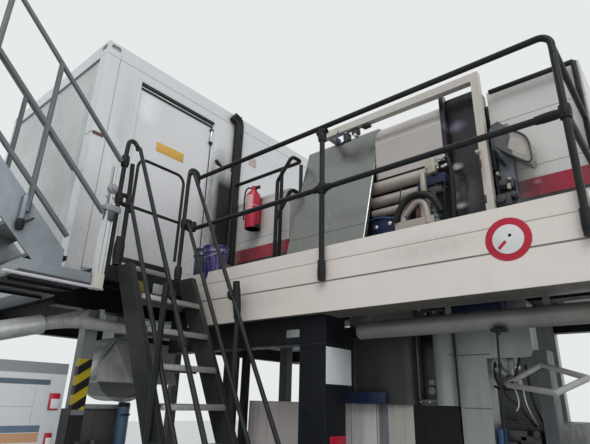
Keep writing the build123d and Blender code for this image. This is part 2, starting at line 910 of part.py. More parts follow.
# Left stair: plate stringers cut off upright at the toe
with BuildPart() as stair_stringers:
    for plate_x in (stair_near_x - stair_plate, stair_far_x):
        side_profile(
            [
                (stair_cut_y, stair_foot_top + seat),
                (stair_cut_y, deck_top + (stair_toe_y - stair_cut_y) * stair_slope),
                (stair_top_y, stair_top),
                (stair_top_y, stair_top - stair_plate_depth),
                (stair_foot_y - stair_plate_depth / stair_slope, stair_foot_top + seat),
            ],
            plate_x,
            plate_x + stair_plate,
        )
save(stair_stringers, "stair_stringers")

with BuildPart() as stair_treads:
    low_x = stair_far_x + stair_plate + seat
    high_x = stair_near_x - stair_plate - seat
    for step in range(stair_steps):
        nose_y = stair_toe_y - step * stair_going
        low_z = deck_top + step * stair_rise - tread_height
        block((low_x, nose_y - stair_tread_depth, low_z), (high_x, nose_y, low_z + tread_height))
        block(
            (low_x, nose_y - stair_tread_depth + tread_plate, low_z),
            (high_x, nose_y - tread_plate, low_z + tread_height - tread_plate),
            Mode.SUBTRACT,
        )
save(stair_treads, "stair_treads")

# Small upper landing on four legs
upper_front_y = stair_top_y - seat
upper_back_y = upper_front_y - upper_landing_length
with BuildPart() as upper_landing:
    block((stair_far_x, upper_back_y, stair_top - landing_height), (stair_near_x, upper_front_y, stair_top))
    for leg_x in (stair_far_x, stair_near_x - upper_landing_leg):
        for leg_y in (upper_back_y, upper_front_y - upper_landing_leg - upper_leg_inset):
            block(
                (leg_x, leg_y, 0),
                (leg_x + upper_landing_leg, leg_y + upper_landing_leg, stair_top - landing_height),
            )
save(upper_landing, "upper_landing")

# Stair rails on the stringers' outer faces, level along the upper landing
rail_slant = rail_radius * stair_slope / sqrt(1 + stair_slope**2)
near_starts = [
    outer_post_y - socket_radius - seat - rail_slant,
    duct_post_y - duct_post_foot / 2 - seat - rail_slant,
    stair_low_rail_y,
]
far_starts = [min(start_y, cabin_left_y - stair_wall_gap) for start_y in near_starts]
with BuildPart() as stair_rails:
    for rail_x, rail_starts in (
        (stair_near_x + rail_radius + seat, near_starts),
        (stair_far_x - rail_radius - seat, far_starts),
    ):
        for height, start_y in zip(stair_rail_heights, rail_starts):
            start_z = deck_top + (stair_toe_y - start_y) * stair_slope + height
            bent_tube(
                [
                    (rail_x, start_y, start_z),
                    (rail_x, stair_top_y, stair_top + height),
                    (rail_x, upper_back_y, stair_top + height),
                ],
                rail_bend,
            )
        for post_y in stair_post_ys + [upper_back_y + rail_radius]:
            line_y = max(post_y, stair_top_y)
            line_z = deck_top + (stair_toe_y - line_y) * stair_slope
            tube(
                (rail_x, post_y, line_z - landing_height),
                (rail_x, post_y, line_z + stair_rail_heights[0]),
            )
save(stair_rails, "stair_rails")

# Press side frames: front one with window, column and arm, rear one plain
with BuildPart() as side_frame_front:
    block((press_left_x, plate_front_y, 0), (press_right_x, plate_back_y, deck_base))
    with BuildSketch(Plane.XZ.offset(-plate_back_y)) as window:
        with Locations(((window_left_x + window_right_x) / 2, (window_low + window_high) / 2)):
            RectangleRounded(window_right_x - window_left_x, window_high - window_low, window_round)
    extrude(window.sketch, amount=frame_thickness, mode=Mode.SUBTRACT)
    with BuildSketch(Plane.XZ.offset(-plate_back_y)) as column_and_arm:
        with BuildLine():
            Polyline(
                (press_column_x, 0),
                (press_right_x, 0),
                (press_right_x, press_arm_base),
                (press_arm_x, press_arm_base),
                (press_arm_x, press_arm_top),
                (press_right_x, press_arm_top),
                (press_right_x, deck_base),
                (press_column_x, deck_base),
                close=True,
            )
        make_face()
        fillet(column_and_arm.vertices().group_by(Axis.X)[-1], press_arm_round)
    extrude(column_and_arm.sketch, amount=plate_back_y - press_front_y)
    rod((drum_x, plate_front_y, drum_z), (drum_x, plate_back_y, drum_z), journal_radius + seat, Mode.SUBTRACT)
save(side_frame_front, "side_frame_front")

# Dark screen in the window, and the guide cylinder on the cabinets' shelf beside it
with BuildPart() as window_screen:
    with BuildSketch(Plane.XZ.offset(-plate_front_y - screen_recess - screen_depth)) as pane:
        with Locations(((window_left_x + window_right_x) / 2, (window_low + window_high) / 2)):
            RectangleRounded(
                window_right_x - window_left_x - 2 * seat,
                window_high - window_low - 2 * seat,
                window_round,
            )
    extrude(pane.sketch, amount=screen_depth)
save(window_screen, "window_screen")

guide_y = plate_front_y - seat - guide_radius
with BuildPart() as guide_cylinder:
    tube((guide_x, guide_y, panel_top + seat), (guide_x, guide_y, guide_top), guide_radius)
save(guide_cylinder, "guide_cylinder")

with BuildPart() as side_frame_rear:
    block((press_left_x, rear_front_y, 0), (press_right_x, press_back_y, deck_base))
    rod((drum_x, rear_front_y, drum_z), (drum_x, press_back_y, drum_z), journal_radius + seat, Mode.SUBTRACT)
save(side_frame_rear, "side_frame_rear")

# Impression drum turning in the side frames on its journals
with BuildPart() as impression_drum:
    tube(
        (drum_x, plate_back_y + running, drum_z),
        (drum_x, rear_front_y - running, drum_z),
        drum_radius,
        drum_sides,
    )
    rod((drum_x, plate_front_y + seat, drum_z), (drum_x, press_back_y, drum_z), journal_radius)
save(impression_drum, "impression_drum")

# Plate cylinders round the drum
roller_circle = drum_radius + roller_gap + roller_radius
with BuildPart() as plate_cylinders:
    for angle in roller_angles:
        roller_x = drum_x + roller_circle * cos(radians(angle))
        roller_z = drum_z + roller_circle * sin(radians(angle))
        tube(
            (roller_x, plate_back_y + seat, roller_z),
            (roller_x, rear_front_y - seat, roller_z),
            roller_journal,
        )
        tube(
            (roller_x, plate_back_y + roller_neck, roller_z),
            (roller_x, rear_front_y - roller_neck, roller_z),
            roller_radius,
        )
save(plate_cylinders, "plate_cylinders")

# Cross beams between the side frames carry the deck-level machine
with BuildPart() as press_cross_beams:
    for beam_x in cross_beam_xs:
        block(
            (beam_x, plate_back_y + seat, deck_base - cross_beam_size),
            (beam_x + cross_beam_size, rear_front_y - seat, deck_base),
        )
save(press_cross_beams, "press_cross_beams")

# Rounded cover over the front frame's left half, on the cabinets' shelf, with a junction box on it
with BuildPart() as drive_cover:
    with BuildSketch(Plane.XY.offset(cover_base)) as cover_plan:
        with Locations(((cover_left_x + cover_right_x) / 2, plate_front_y - seat - cover_depth / 2)):
            Rectangle(cover_right_x - cover_left_x, cover_depth)
        fillet(cover_plan.vertices().group_by(Axis.Y)[0], cover_round)
    extrude(cover_plan.sketch, amount=cover_top - cover_base)
    block(
        (cover_left_x + cover_round, cover_front_y - junction_depth, cover_base),
        (junction_right_x, cover_front_y + junction_depth, cover_base + junction_height),
    )
save(drive_cover, "drive_cover")

# Cabinet, sheet and black guard along the foot of the press
with BuildPart() as front_panels:
    for low_x, high_x in zip(panel_edges[:-1], panel_edges[1:]):
        block(
            (low_x + seat, plate_front_y - panel_depth, 0),
            (high_x - seat, plate_front_y, panel_top),
        )
save(front_panels, "front_panels")

# Drive housing and column at the press's right end
with BuildPart() as drive_housing:
    block(
        (press_right_x + seat, plate_back_y, 0),
        (end_column_left_x - seat, plate_back_y + drive_depth, drive_top),
    )
save(drive_housing, "drive_housing")

with BuildPart() as end_column:
    block(
        (end_column_left_x, press_front_y, 0),
        (end_column_left_x + end_column_width, press_front_y + end_column_depth, end_column_top),
    )
save(end_column, "end_column")

# Swung-out web guide frame of tube on the column's face
with BuildPart() as web_guide_frame:
    arm_y = press_front_y - arm_radius - seat
    corners = [(x, arm_y + reach, z) for x, reach, z in arm_corners]
    for start, end in zip(corners, corners[1:] + corners[:1]):
        tube(start, end, arm_radius)
save(web_guide_frame, "web_guide_frame")

with BuildPart() as end_cabinet:
    block((*end_cabinet_low, 0), (*end_cabinet_high, end_cabinet_top))
save(end_cabinet, "end_cabinet")

# Deck-level machine: closed core, leaning guards, hood and polished panels
with BuildPart() as press_core:
    block((core_left_x, core_front_y, deck_base), (core_right_x, housing_back_y, core_top))
save(press_core, "press_core")

guard_shift = (guard_top - deck_top) * guard_lean
guard_middle_x = (core_left_x + guard_right_x) / 2
with BuildPart() as guard_panels:
    for low_x, high_x in ((core_left_x, guard_middle_x - seat), (guard_middle_x + seat, guard_right_x)):
        side_profile(
            [
                (guard_foot_y - guard_thickness, deck_top),
                (guard_foot_y, deck_top),
                (guard_foot_y + guard_shift, guard_top),
                (guard_foot_y + guard_shift - guard_thickness, guard_top),
            ],
            low_x,
            high_x,
        )
save(guard_panels, "guard_panels")

with BuildPart() as curved_hood:
    with BuildSketch(Plane.YZ.offset(hood_left_x)) as hood_profile:
        with BuildLine():
            Polyline(
                (hood_front_y + hood_round, hood_top),
                (core_front_y + hood_round, hood_top),
                (core_front_y + hood_round, core_top),
                (core_front_y, core_top),
                (core_front_y, hood_base),
                (hood_front_y, hood_base),
                (hood_front_y, hood_top - hood_round),
            )
            RadiusArc(
                (hood_front_y, hood_top - hood_round),
                (hood_front_y + hood_round, hood_top),
                hood_round,
            )
        make_face()
    extrude(hood_profile.sketch, amount=hood_right_x - hood_left_x)
save(curved_hood, "curved_hood")

with BuildPart() as dark_panels:
    with BuildSketch(Plane.XY.offset(deck_top)) as dark_plan:
        with Locations(((hood_right_x + seat + dark_right_x) / 2, (dark_front_y + core_front_y) / 2)):
            Rectangle(dark_right_x - hood_right_x - seat, core_front_y - dark_front_y)
        fillet(dark_plan.vertices().group_by(Axis.Y)[0].sort_by(Axis.X)[0], dark_round)
    extrude(dark_plan.sketch, amount=dark_top - deck_top)
save(dark_panels, "dark_panels")

# Air pipes on a manifold bolted to the core
with BuildPart() as air_pipes:
    for height, radius, end_x in zip(pipe_heights, pipe_radii, pipe_end_xs):
        tube((pipe_start_x, pipes_y, height), (end_x, pipes_y, height), radius)
    for link_x, height in zip(pipe_link_xs, pipe_heights):
        tube((link_x, pipes_y, manifold_top), (link_x, pipes_y, height), pipe_link_radius)
    block(
        (manifold_left_x, bend_y - pipe_radii[-1], manifold_base),
        (manifold_right_x, core_front_y, manifold_top),
    )
    bent_tube(
        [
            (bend_left_x, bend_y, manifold_top),
            (bend_left_x, bend_y, bend_top),
            (bend_right_x, bend_y, bend_top),
            (bend_right_x, bend_y, manifold_top),
        ],
        bend_round,
        pipe_radii[-1] - running,
    )
save(air_pipes, "air_pipes")

# Gantry: post on the deck, beam over the guards and a bracket back to the core
with BuildPart() as gantry:
    block(
        (gantry_left_x, gantry_y, deck_top),
        (gantry_left_x + gantry_size, gantry_y + gantry_size, gantry_base + gantry_beam),
    )
    block(
        (gantry_end_x, gantry_y, gantry_base),
        (gantry_left_x, gantry_y + gantry_size, gantry_base + gantry_beam),
    )
    block(
        (gantry_end_x, gantry_y + gantry_size, gantry_base + gantry_beam - gantry_bar),
        (gantry_end_x + gantry_size, core_front_y + gantry_size, gantry_base + gantry_beam),
    )
    block(
        (gantry_end_x, core_front_y, core_top),
        (gantry_end_x + gantry_size, core_front_y + gantry_size, gantry_base + gantry_beam),
    )
save(gantry, "gantry")

# Side plate and folded arm box beside the gantry post
with BuildPart() as side_plate:
    block(
        (core_right_x + seat, housing_front_y - side_plate_depth - seat, deck_top),
        (side_plate_right_x, housing_front_y - seat, side_plate_top),
    )
save(side_plate, "side_plate")

with BuildPart() as arm_box:
    front_profile(arm_box_outline, arm_box_front_y, housing_front_y - side_plate_depth - seat)
save(arm_box, "arm_box")

# Housings with the painted band on both sides of the machine
with BuildPart() as striped_housings:
    block(
        (cabin_face_x + seat, housing_front_y, deck_top),
        (housing_gap_x, housing_back_y, housing_left_top),
    )
    block(
        (core_right_x + seat, housing_front_y, deck_top),
        (walkway_end_x, housing_back_y, housing_right_top),
    )
save(striped_housings, "striped_housings")

with BuildPart() as housing_frame:
    for beam_y in (housing_front_y, housing_back_y - beam_width):
        for low_x, high_x in (
            (cabin_face_x + seat, press_left_x - seat),
            (press_right_x + seat, walkway_end_x),
        ):
            block(
                (low_x, beam_y + seat, beam_base),
                (high_x, beam_y + beam_width, deck_base - seat),
            )
    for column_x in (cabin_face_x + seat, walkway_end_x - beam_width):
        for column_y in (housing_front_y + seat, housing_back_y - beam_width):
            block(
                (column_x, column_y, 0),
                (column_x + beam_width, column_y + beam_width - seat, beam_base),
            )
save(housing_frame, "housing_frame")

# Round duct hung under the walkway
with BuildPart() as under_deck_duct:
    tube((duct_start_x, duct_y, duct_z), (walkway_end_x, duct_y, duct_z), duct_radius, duct_sides)
    for joist_x in joist_xs:
        if joist_x > duct_start_x:
            strap_x = joist_x + joist_width / 2
            block(
                (strap_x - strap_width / 2, duct_y - strap_thickness / 2, duct_z),
                (strap_x + strap_width / 2, duct_y + strap_thickness / 2, deck_base - joist_height - seat),
            )
save(under_deck_duct, "under_deck_duct")

# Fan housing under the cabin with its outlet and sloped hood
with BuildPart() as fan_housing:
    tube((fan_left_x, fan_y, fan_z), (fan_right_x, fan_y, fan_z), fan_radius, drum_sides)
    block(
        (fan_left_x, fan_y - fan_outlet / 2, fan_z),
        (fan_left_x + fan_outlet, fan_y + fan_outlet / 2, cabin_base_z),
    )
    side_profile(
        [
            (fan_hood_foot[0], fan_hood_base),
            (fan_hood_foot[1], fan_hood_base),
            (fan_hood_head[1], fan_hood_top),
            (fan_hood_head[0], fan_hood_top),
        ],
        fan_right_x,
        fan_right_x + fan_hood_depth,
    )
    with BuildSketch(Plane.XZ.offset(-fan_hood_foot[1])) as hood_slope:
        Polygon(
            (fan_right_x + fan_hood_depth, fan_hood_base),
            (fan_right_x + fan_hood_depth, fan_hood_top),
            (fan_right_x + fan_hood_lip, fan_hood_top),
            align=None,
        )
    extrude(hood_slope.sketch, amount=fan_hood_foot[1] - fan_hood_foot[0], mode=Mode.SUBTRACT)
save(fan_housing, "fan_housing")

# Flexible duct along the cabin's support beam, with the larger duct it comes from
with BuildPart() as flexible_duct:
    bent_tube([(flex_x, y, z) for y, z in flex_route], flex_round, flex_radius)
    tube((flex_x, *flex_route[0]), (flex_x, *main_duct_end), main_duct_radius)
    for strap_y in flex_strap_ys:
        block(
            (flex_x - strap_thickness / 2, strap_y, flex_route[-1][1]),
            (flex_x + strap_thickness / 2, strap_y + strap_width, support_top + strap_thickness),
        )
        block(
            (cabin_face_x + seat, strap_y, support_top),
            (flex_x, strap_y + strap_width, support_top + strap_thickness),
        )
    block(
        (flex_x - strap_thickness / 2, -strap_width / 2, flex_route[-1][1]),
        (flex_x + strap_thickness / 2, strap_width / 2, beam_base - seat),
    )
save(flexible_duct, "flexible_duct")

with BuildPart() as console:
    block(
        (console_right_x - console_length, console_front_y, 0),
        (console_right_x, console_front_y + console_depth, console_height),
    )
save(console, "console")

# Fire extinguisher in its bracket on the left housing
with BuildPart() as fire_extinguisher:
    extinguisher_y = housing_front_y - seat - extinguisher_bracket - extinguisher_radius
    extinguisher_top = extinguisher_base + extinguisher_height
    shoulder_z = extinguisher_top - extinguisher_shoulder
    tube(
        (extinguisher_x, extinguisher_y, extinguisher_base),
        (extinguisher_x, extinguisher_y, shoulder_z),
        extinguisher_radius,
    )
    with BuildSketch(Plane.XY.offset(shoulder_z)) as shoulder:
        with Locations((extinguisher_x, extinguisher_y)):
            RegularPolygon(extinguisher_radius, tube_sides)
    extrude(shoulder.sketch, amount=extinguisher_shoulder, taper=shoulder_taper)
    tube(
        (extinguisher_x, extinguisher_y, shoulder_z),
        (extinguisher_x, extinguisher_y, extinguisher_top + 2 * extinguisher_neck),
        extinguisher_neck,
    )
    block(
        (extinguisher_x - extinguisher_bracket, extinguisher_y, extinguisher_base),
        (extinguisher_x + extinguisher_bracket, housing_front_y - seat, shoulder_z),
    )
save(fire_extinguisher, "fire_extinguisher")
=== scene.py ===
import math

import bmesh
import bpy
from mathutils import Matrix, Vector


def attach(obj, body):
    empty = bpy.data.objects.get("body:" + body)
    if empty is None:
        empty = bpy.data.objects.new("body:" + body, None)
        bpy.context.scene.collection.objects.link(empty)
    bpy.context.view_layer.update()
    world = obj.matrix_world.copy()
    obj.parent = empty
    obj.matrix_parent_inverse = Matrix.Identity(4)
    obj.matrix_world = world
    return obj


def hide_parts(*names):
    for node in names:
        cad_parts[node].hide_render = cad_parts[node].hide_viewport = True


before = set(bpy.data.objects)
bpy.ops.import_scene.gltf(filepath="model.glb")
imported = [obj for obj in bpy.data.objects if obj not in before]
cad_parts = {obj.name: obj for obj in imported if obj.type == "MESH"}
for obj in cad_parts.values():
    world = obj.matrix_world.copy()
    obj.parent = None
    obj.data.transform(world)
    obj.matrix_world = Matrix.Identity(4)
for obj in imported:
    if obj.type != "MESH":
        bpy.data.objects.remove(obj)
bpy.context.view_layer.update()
print("frame loaded,", len(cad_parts), "nodes")


# camera, light and floor

view = {
    "place": (2.20, -2.92, 1.60),
    "right": (0.76527, 0.64319, 0.02590),
    "up": (0.20878, -0.28607, 0.93520),
    "back": (0.60891, -0.71027, -0.35320),
    "lens": 29.04,
    "film": 36,
    "clip": (0.05, 200),
}
light = {
    "sky": (0.94, 0.97, 1.0),
    "skyStrength": 0.62,
    "backdrop": (0.80, 0.82, 0.82),
    "keyStrength": 1.35,
    "keyAngle": 40,
    "keyFrom": (0.55, -0.75, 1.0),
    "fillStrength": 0.45,
    "fillFrom": (1.0, 0.25, 0.35),
}


def placeCamera():
    camera = bpy.data.objects.new("camera", bpy.data.cameras.new("camera"))
    bpy.context.scene.collection.objects.link(camera)
    turn = Matrix((view["right"], view["up"], view["back"])).transposed()
    camera.matrix_world = Matrix.Translation(view["place"]) @ turn.to_4x4()
    camera.data.sensor_width = view["film"]
    camera.data.lens = view["lens"]
    camera.data.clip_start, camera.data.clip_end = view["clip"]
    bpy.context.scene.camera = camera


def placeSun(name, source, strength, angle):
    lamp = bpy.data.lights.new(name, "SUN")
    lamp.energy = strength
    lamp.angle = math.radians(angle)
    sun = bpy.data.objects.new(name, lamp)
    bpy.context.scene.collection.objects.link(sun)
    sun.rotation_mode = "QUATERNION"
    sun.rotation_quaternion = Vector(source).to_track_quat("Z", "Y")


def lightRoom():
    world = bpy.data.worlds.new("room")
    bpy.context.scene.world = world
    world.use_nodes = True
    tree = world.node_tree
    sky = tree.nodes["Background"]
    sky.inputs["Color"].default_value = (*light["sky"], 1)
    sky.inputs["Strength"].default_value = light["skyStrength"]
    shown = tree.nodes.new("ShaderNodeBackground")
    shown.inputs["Color"].default_value = (*light["backdrop"], 1)
    ray = tree.nodes.new("ShaderNodeLightPath")
    seen = ray.outputs["Is Camera Ray"]
    for kind in ("Is Glossy Ray", "Is Transmission Ray"):
        either = tree.nodes.new("ShaderNodeMath")
        either.operation = "MAXIMUM"
        tree.links.new(seen, either.inputs[0])
        tree.links.new(ray.outputs[kind], either.inputs[1])
        seen = either.outputs[0]
    mix = tree.nodes.new("ShaderNodeMixShader")
    tree.links.new(seen, mix.inputs[0])
    tree.links.new(sky.outputs[0], mix.inputs[1])
    tree.links.new(shown.outputs[0], mix.inputs[2])
    tree.links.new(mix.outputs[0], tree.nodes["World Output"].inputs[0])
    placeSun("keyLight", light["keyFrom"], light["keyStrength"], light["keyAngle"])
    placeSun("fillLight", light["fillFrom"], light["fillStrength"], light["keyAngle"])


placeCamera()
lightRoom()
bpy.context.scene.view_settings.view_transform = "Standard"
print("camera and light placed")


# finishes

def addNode(tree, kind, inputs=None, **settings):
    node = tree.nodes.new(kind)
    for key, value in settings.items():
        setattr(node, key, value)
    for key, value in (inputs or {}).items():
        if isinstance(value, bpy.types.NodeSocket):
            tree.links.new(value, node.inputs[key])
        else:
            node.inputs[key].default_value = value
    return node


def maths(tree, operation, *values):
    return addNode(tree, "ShaderNodeMath", dict(enumerate(values)), operation=operation).outputs[0]


def product(tree, *values):
    result = values[0]
    for value in values[1:]:
        result = maths(tree, "MULTIPLY", result, value)
    return result


def spread(tree, value, low, high, start=0.0, end=1.0):
    # a value between low and high becomes one between start and end
    inputs = {"Value": value, "From Min": low, "From Max": high, "To Min": start, "To Max": end}
    return addNode(tree, "ShaderNodeMapRange", inputs).outputs[0]


def noise(tree, place, size, detail=4.0, stretch=(1, 1, 1)):
    scaled = addNode(tree, "ShaderNodeMapping", {"Vector": place, "Scale": stretch})
    inputs = {"Vector": scaled.outputs[0], "Scale": 1.0 / size, "Detail": detail, "Roughness": 0.6}
    return addNode(tree, "ShaderNodeTexNoise", inputs).outputs[0]


def blendColour(tree, factor, first, second):
    mix = addNode(tree, "ShaderNodeMix", data_type="RGBA")
    for index, value in ((0, factor), (6, first), (7, second)):
        if isinstance(value, bpy.types.NodeSocket):
            tree.links.new(value, mix.inputs[index])
        else:
            mix.inputs[index].default_value = (*value, 1) if index else value
    return mix.outputs[2]


def insideBox(tree, axes, ranges, amount=1.0):
    # the amount between the low and high places of each axis; None leaves an axis open
    for axis, limits in enumerate(ranges):
        if limits:
            low, high = limits
            amount = product(tree, maths(tree, "COMPARE", axes.outputs[axis], (low + high) / 2, (high - low) / 2),
                amount)
    return amount


# what a look has unless its row says otherwise; sizes in metres
plainLook = {
    "patchSize": 0.7, "patchRange": (0.42, 0.72), "streakSize": 0.05, "streakStretch": (1, 1, 0.06),
        "streakRange": (0.5, 0.78),
    "tintSize": 1.6, "tintRange": (0.3, 0.7), "corners": 0.5, "cornerSize": 0.12, "cornerRange": (0.45, 0.95),
    "specks": 0.0, "speckSize": 0.012, "speckRange": (0.66, 0.74), "speckColour": (0.20, 0.13, 0.09),
    "edgeWidth": 0.006, "edgeRange": (0.82, 0.98), "wearSize": 0.05, "wearRange": (0.42, 0.6),
    "roughVary": 0.12, "roughSize": 0.09, "roughRange": (0.3, 0.7), "dirtAndShadeRough": 0.2, "metal": 0.0, "specular": 0.5,
    "coat": 0.0, "coatRough": 0.2, "waveSize": 0.35, "waves": 0.004, "grain": 0.06, "grainDepth": 0.0015,
}


def paint(colour, tint, dirtAndShade, patches, streaks, rough, edges=0.0, edgeColour=None, **more):
    # one row of looks: the colour varies to a tint or a darker colour, and worn edges are a given or a brighter one
    darker, brighter = tuple(part * 0.9 for part in colour), tuple(min(1, part * 1.8 + 0.05) for part in colour)
    return {**plainLook, "colour": colour, "tint": tint or darker, "dirtAndShade": dirtAndShade, "patches": patches,
        "streaks": streaks,
            "rough": rough, "edges": edges, "edgeColour": edgeColour or brighter, **more}


def gatherDirtAndShade(tree, look, place, streakNoise):
    # patches, streaks down the sheet and painted shade in corners, taken from ambient occlusion
    patches = spread(tree, noise(tree, place, look["patchSize"], 7), *look["patchRange"], 0, look["patches"])
    dirtAndShade = maths(tree, "MAXIMUM", patches, spread(tree, streakNoise, *look["streakRange"], 0, look["streaks"]))
    # painted shade: ambient occlusion darkens corners, hollows and the gaps between parts
    if look["corners"]:
        occlusion = addNode(tree, "ShaderNodeAmbientOcclusion", {"Distance": look["cornerSize"]}, samples=4)
        cornerShade = spread(tree, occlusion.outputs["AO"], *look["cornerRange"], look["corners"], 0)
        dirtAndShade = maths(tree, "ADD", dirtAndShade, product(tree, cornerShade, spread(tree, streakNoise, 0.3, 0.6, 0.5, 1)))
    return maths(tree, "MINIMUM", dirtAndShade, 1.0)


def wearEdges(tree, look, place, colour):
    rounded = addNode(tree, "ShaderNodeBevel", {"Radius": look["edgeWidth"]}, samples=3)
    true = addNode(tree, "ShaderNodeNewGeometry")
    facing = addNode(tree, "ShaderNodeVectorMath", {0: rounded.outputs[0], 1: true.outputs["Normal"]},
        operation="DOT_PRODUCT")
    worn = spread(tree, facing.outputs["Value"], *look["edgeRange"], look["edges"], 0)
    wear = spread(tree, noise(tree, place, look["wearSize"], 5), *look["wearRange"])
    return blendColour(tree, product(tree, worn, wear), colour, look["edgeColour"])


def makeFinish(name, look, marks=()):
    # a paint or metal with its marks, dirt, painted shade in corners, specks, worn edges and uneven surface
    material = bpy.data.materials.new(name)
    material.use_nodes = True
    material.diffuse_color = (*look["colour"], 1)
    tree = material.node_tree
    shader = tree.nodes["Principled BSDF"]
    place = addNode(tree, "ShaderNodeTexCoord").outputs["Object"]
    axes = addNode(tree, "ShaderNodeSeparateXYZ", {0: place})
    streakNoise = noise(tree, place, look["streakSize"], 5, look["streakStretch"])
    dirtAndShade = gatherDirtAndShade(tree, look, place, streakNoise)
    tint = spread(tree, noise(tree, place, look["tintSize"], 3), *look["tintRange"])
    colour = blendColour(tree, tint, look["colour"], look["tint"])
    for mark in marks:
        colour = mark(tree, place, axes, colour)
    colour = blendColour(tree, dirtAndShade, colour, look["dirtAndShade"])
    speck = noise(tree, place, look["speckSize"], 3)
    if look["specks"]:
        spots = spread(tree, speck, *look["speckRange"], 0, look["specks"])
        colour = blendColour(tree, spots, colour, look["speckColour"])
    if look["edges"]:
        colour = wearEdges(tree, look, place, colour)
    tree.links.new(colour, shader.inputs["Base Color"])
    roughNoise = noise(tree, place, look["roughSize"], 5)
    smoothest, roughest = look["rough"] - look["roughVary"], look["rough"] + look["roughVary"]
    uneven = spread(tree, roughNoise, *look["roughRange"], smoothest, roughest)
    roughness = maths(tree, "ADD", uneven, product(tree, dirtAndShade, look["dirtAndShadeRough"]))
    tree.links.new(roughness, shader.inputs["Roughness"])
    for socket, key in (("Metallic", "metal"), ("Specular IOR Level", "specular"), ("Coat Weight", "coat"),
                        ("Coat Roughness", "coatRough")):
        shader.inputs[socket].default_value = look[key]
    waves = noise(tree, place, look["waveSize"], 2)
    waveBump = addNode(tree, "ShaderNodeBump", {"Height": waves, "Strength": 1.0, "Distance": look["waves"]})
    grain = addNode(tree, "ShaderNodeBump", {"Height": speck, "Strength": look["grain"],
        "Distance": look["grainDepth"],
                                             "Normal": waveBump.outputs[0]})
    tree.links.new(grain.outputs[0], shader.inputs["Normal"])
    return material


def patch(colour, amount=1.0, x=None, y=None, z=None):
    # a plain region between two places on the named axes
    def mark(tree, place, axes, under):
        return blendColour(tree, insideBox(tree, axes, (x, y, z), amount), under, colour)
    return mark


def dirtLightAndShadeCloud(centre, radii, colour, amount, grain=0.05):
    # a soft cloud of dirt, painted light or painted shade round one point
    def mark(tree, place, axes, under):
        moved = addNode(tree, "ShaderNodeVectorMath", {0: place, 1: centre}, operation="SUBTRACT")
        scaled = addNode(tree, "ShaderNodeVectorMath", {0: moved.outputs[0], 1: radii}, operation="DIVIDE")
        far = addNode(tree, "ShaderNodeVectorMath", {0: scaled.outputs[0]}, operation="LENGTH").outputs["Value"]
        cloudy = spread(tree, noise(tree, place, grain, 4), 0.3, 0.6, 0.35, 1.0)
        inside = product(tree, spread(tree, far, 0.2, 1.0, 1.0, 0.0), cloudy, amount)
        return blendColour(tree, inside, under, colour)
    return mark


def fade(axis, bare, full, within, colour, grain=0.06):
    # a colour that grows in along one axis, between two places on another
    def mark(tree, place, axes, under):
        ramp = spread(tree, axes.outputs[axis], bare, full, 1.0, 0.0)
        cloudy = spread(tree, noise(tree, place, grain, 4, (1, 1, 0.4)), 0.35, 0.65, 0.75, 1.25)
        amount = product(tree, ramp, cloudy, insideBox(tree, axes, within))
        return blendColour(tree, maths(tree, "MINIMUM", amount, 1.0), under, colour)
    return mark


def facet(tip, slope, low, colour, amount):
    # a triangle of sheet below its tip, on the y and z axes, painted in one colour; the fan housing uses it as
    # painted light on a folded facet
    def mark(tree, place, axes, under):
        aside = maths(tree, "ABSOLUTE", maths(tree, "SUBTRACT", axes.outputs[1], tip[0]))
        drop = product(tree, maths(tree, "SUBTRACT", tip[1], axes.outputs[2]), slope)
        above = maths(tree, "GREATER_THAN", axes.outputs[2], low)
        inside = product(tree, maths(tree, "LESS_THAN", aside, drop), above, amount)
        return blendColour(tree, inside, under, colour)
    return mark


def hazard(ranges, pitch, slope, first, second):
    # slanted two-colour tape between two places on each axis
    def mark(tree, place, axes, under):
        run = maths(tree, "SUBTRACT", axes.outputs[2], product(tree, axes.outputs[1], slope))
        turn = maths(tree, "FRACT", maths(tree, "DIVIDE", run, pitch))
        tape = blendColour(tree, maths(tree, "GREATER_THAN", turn, 0.5), first, second)
        return blendColour(tree, insideBox(tree, axes, ranges), under, tape)
    return mark
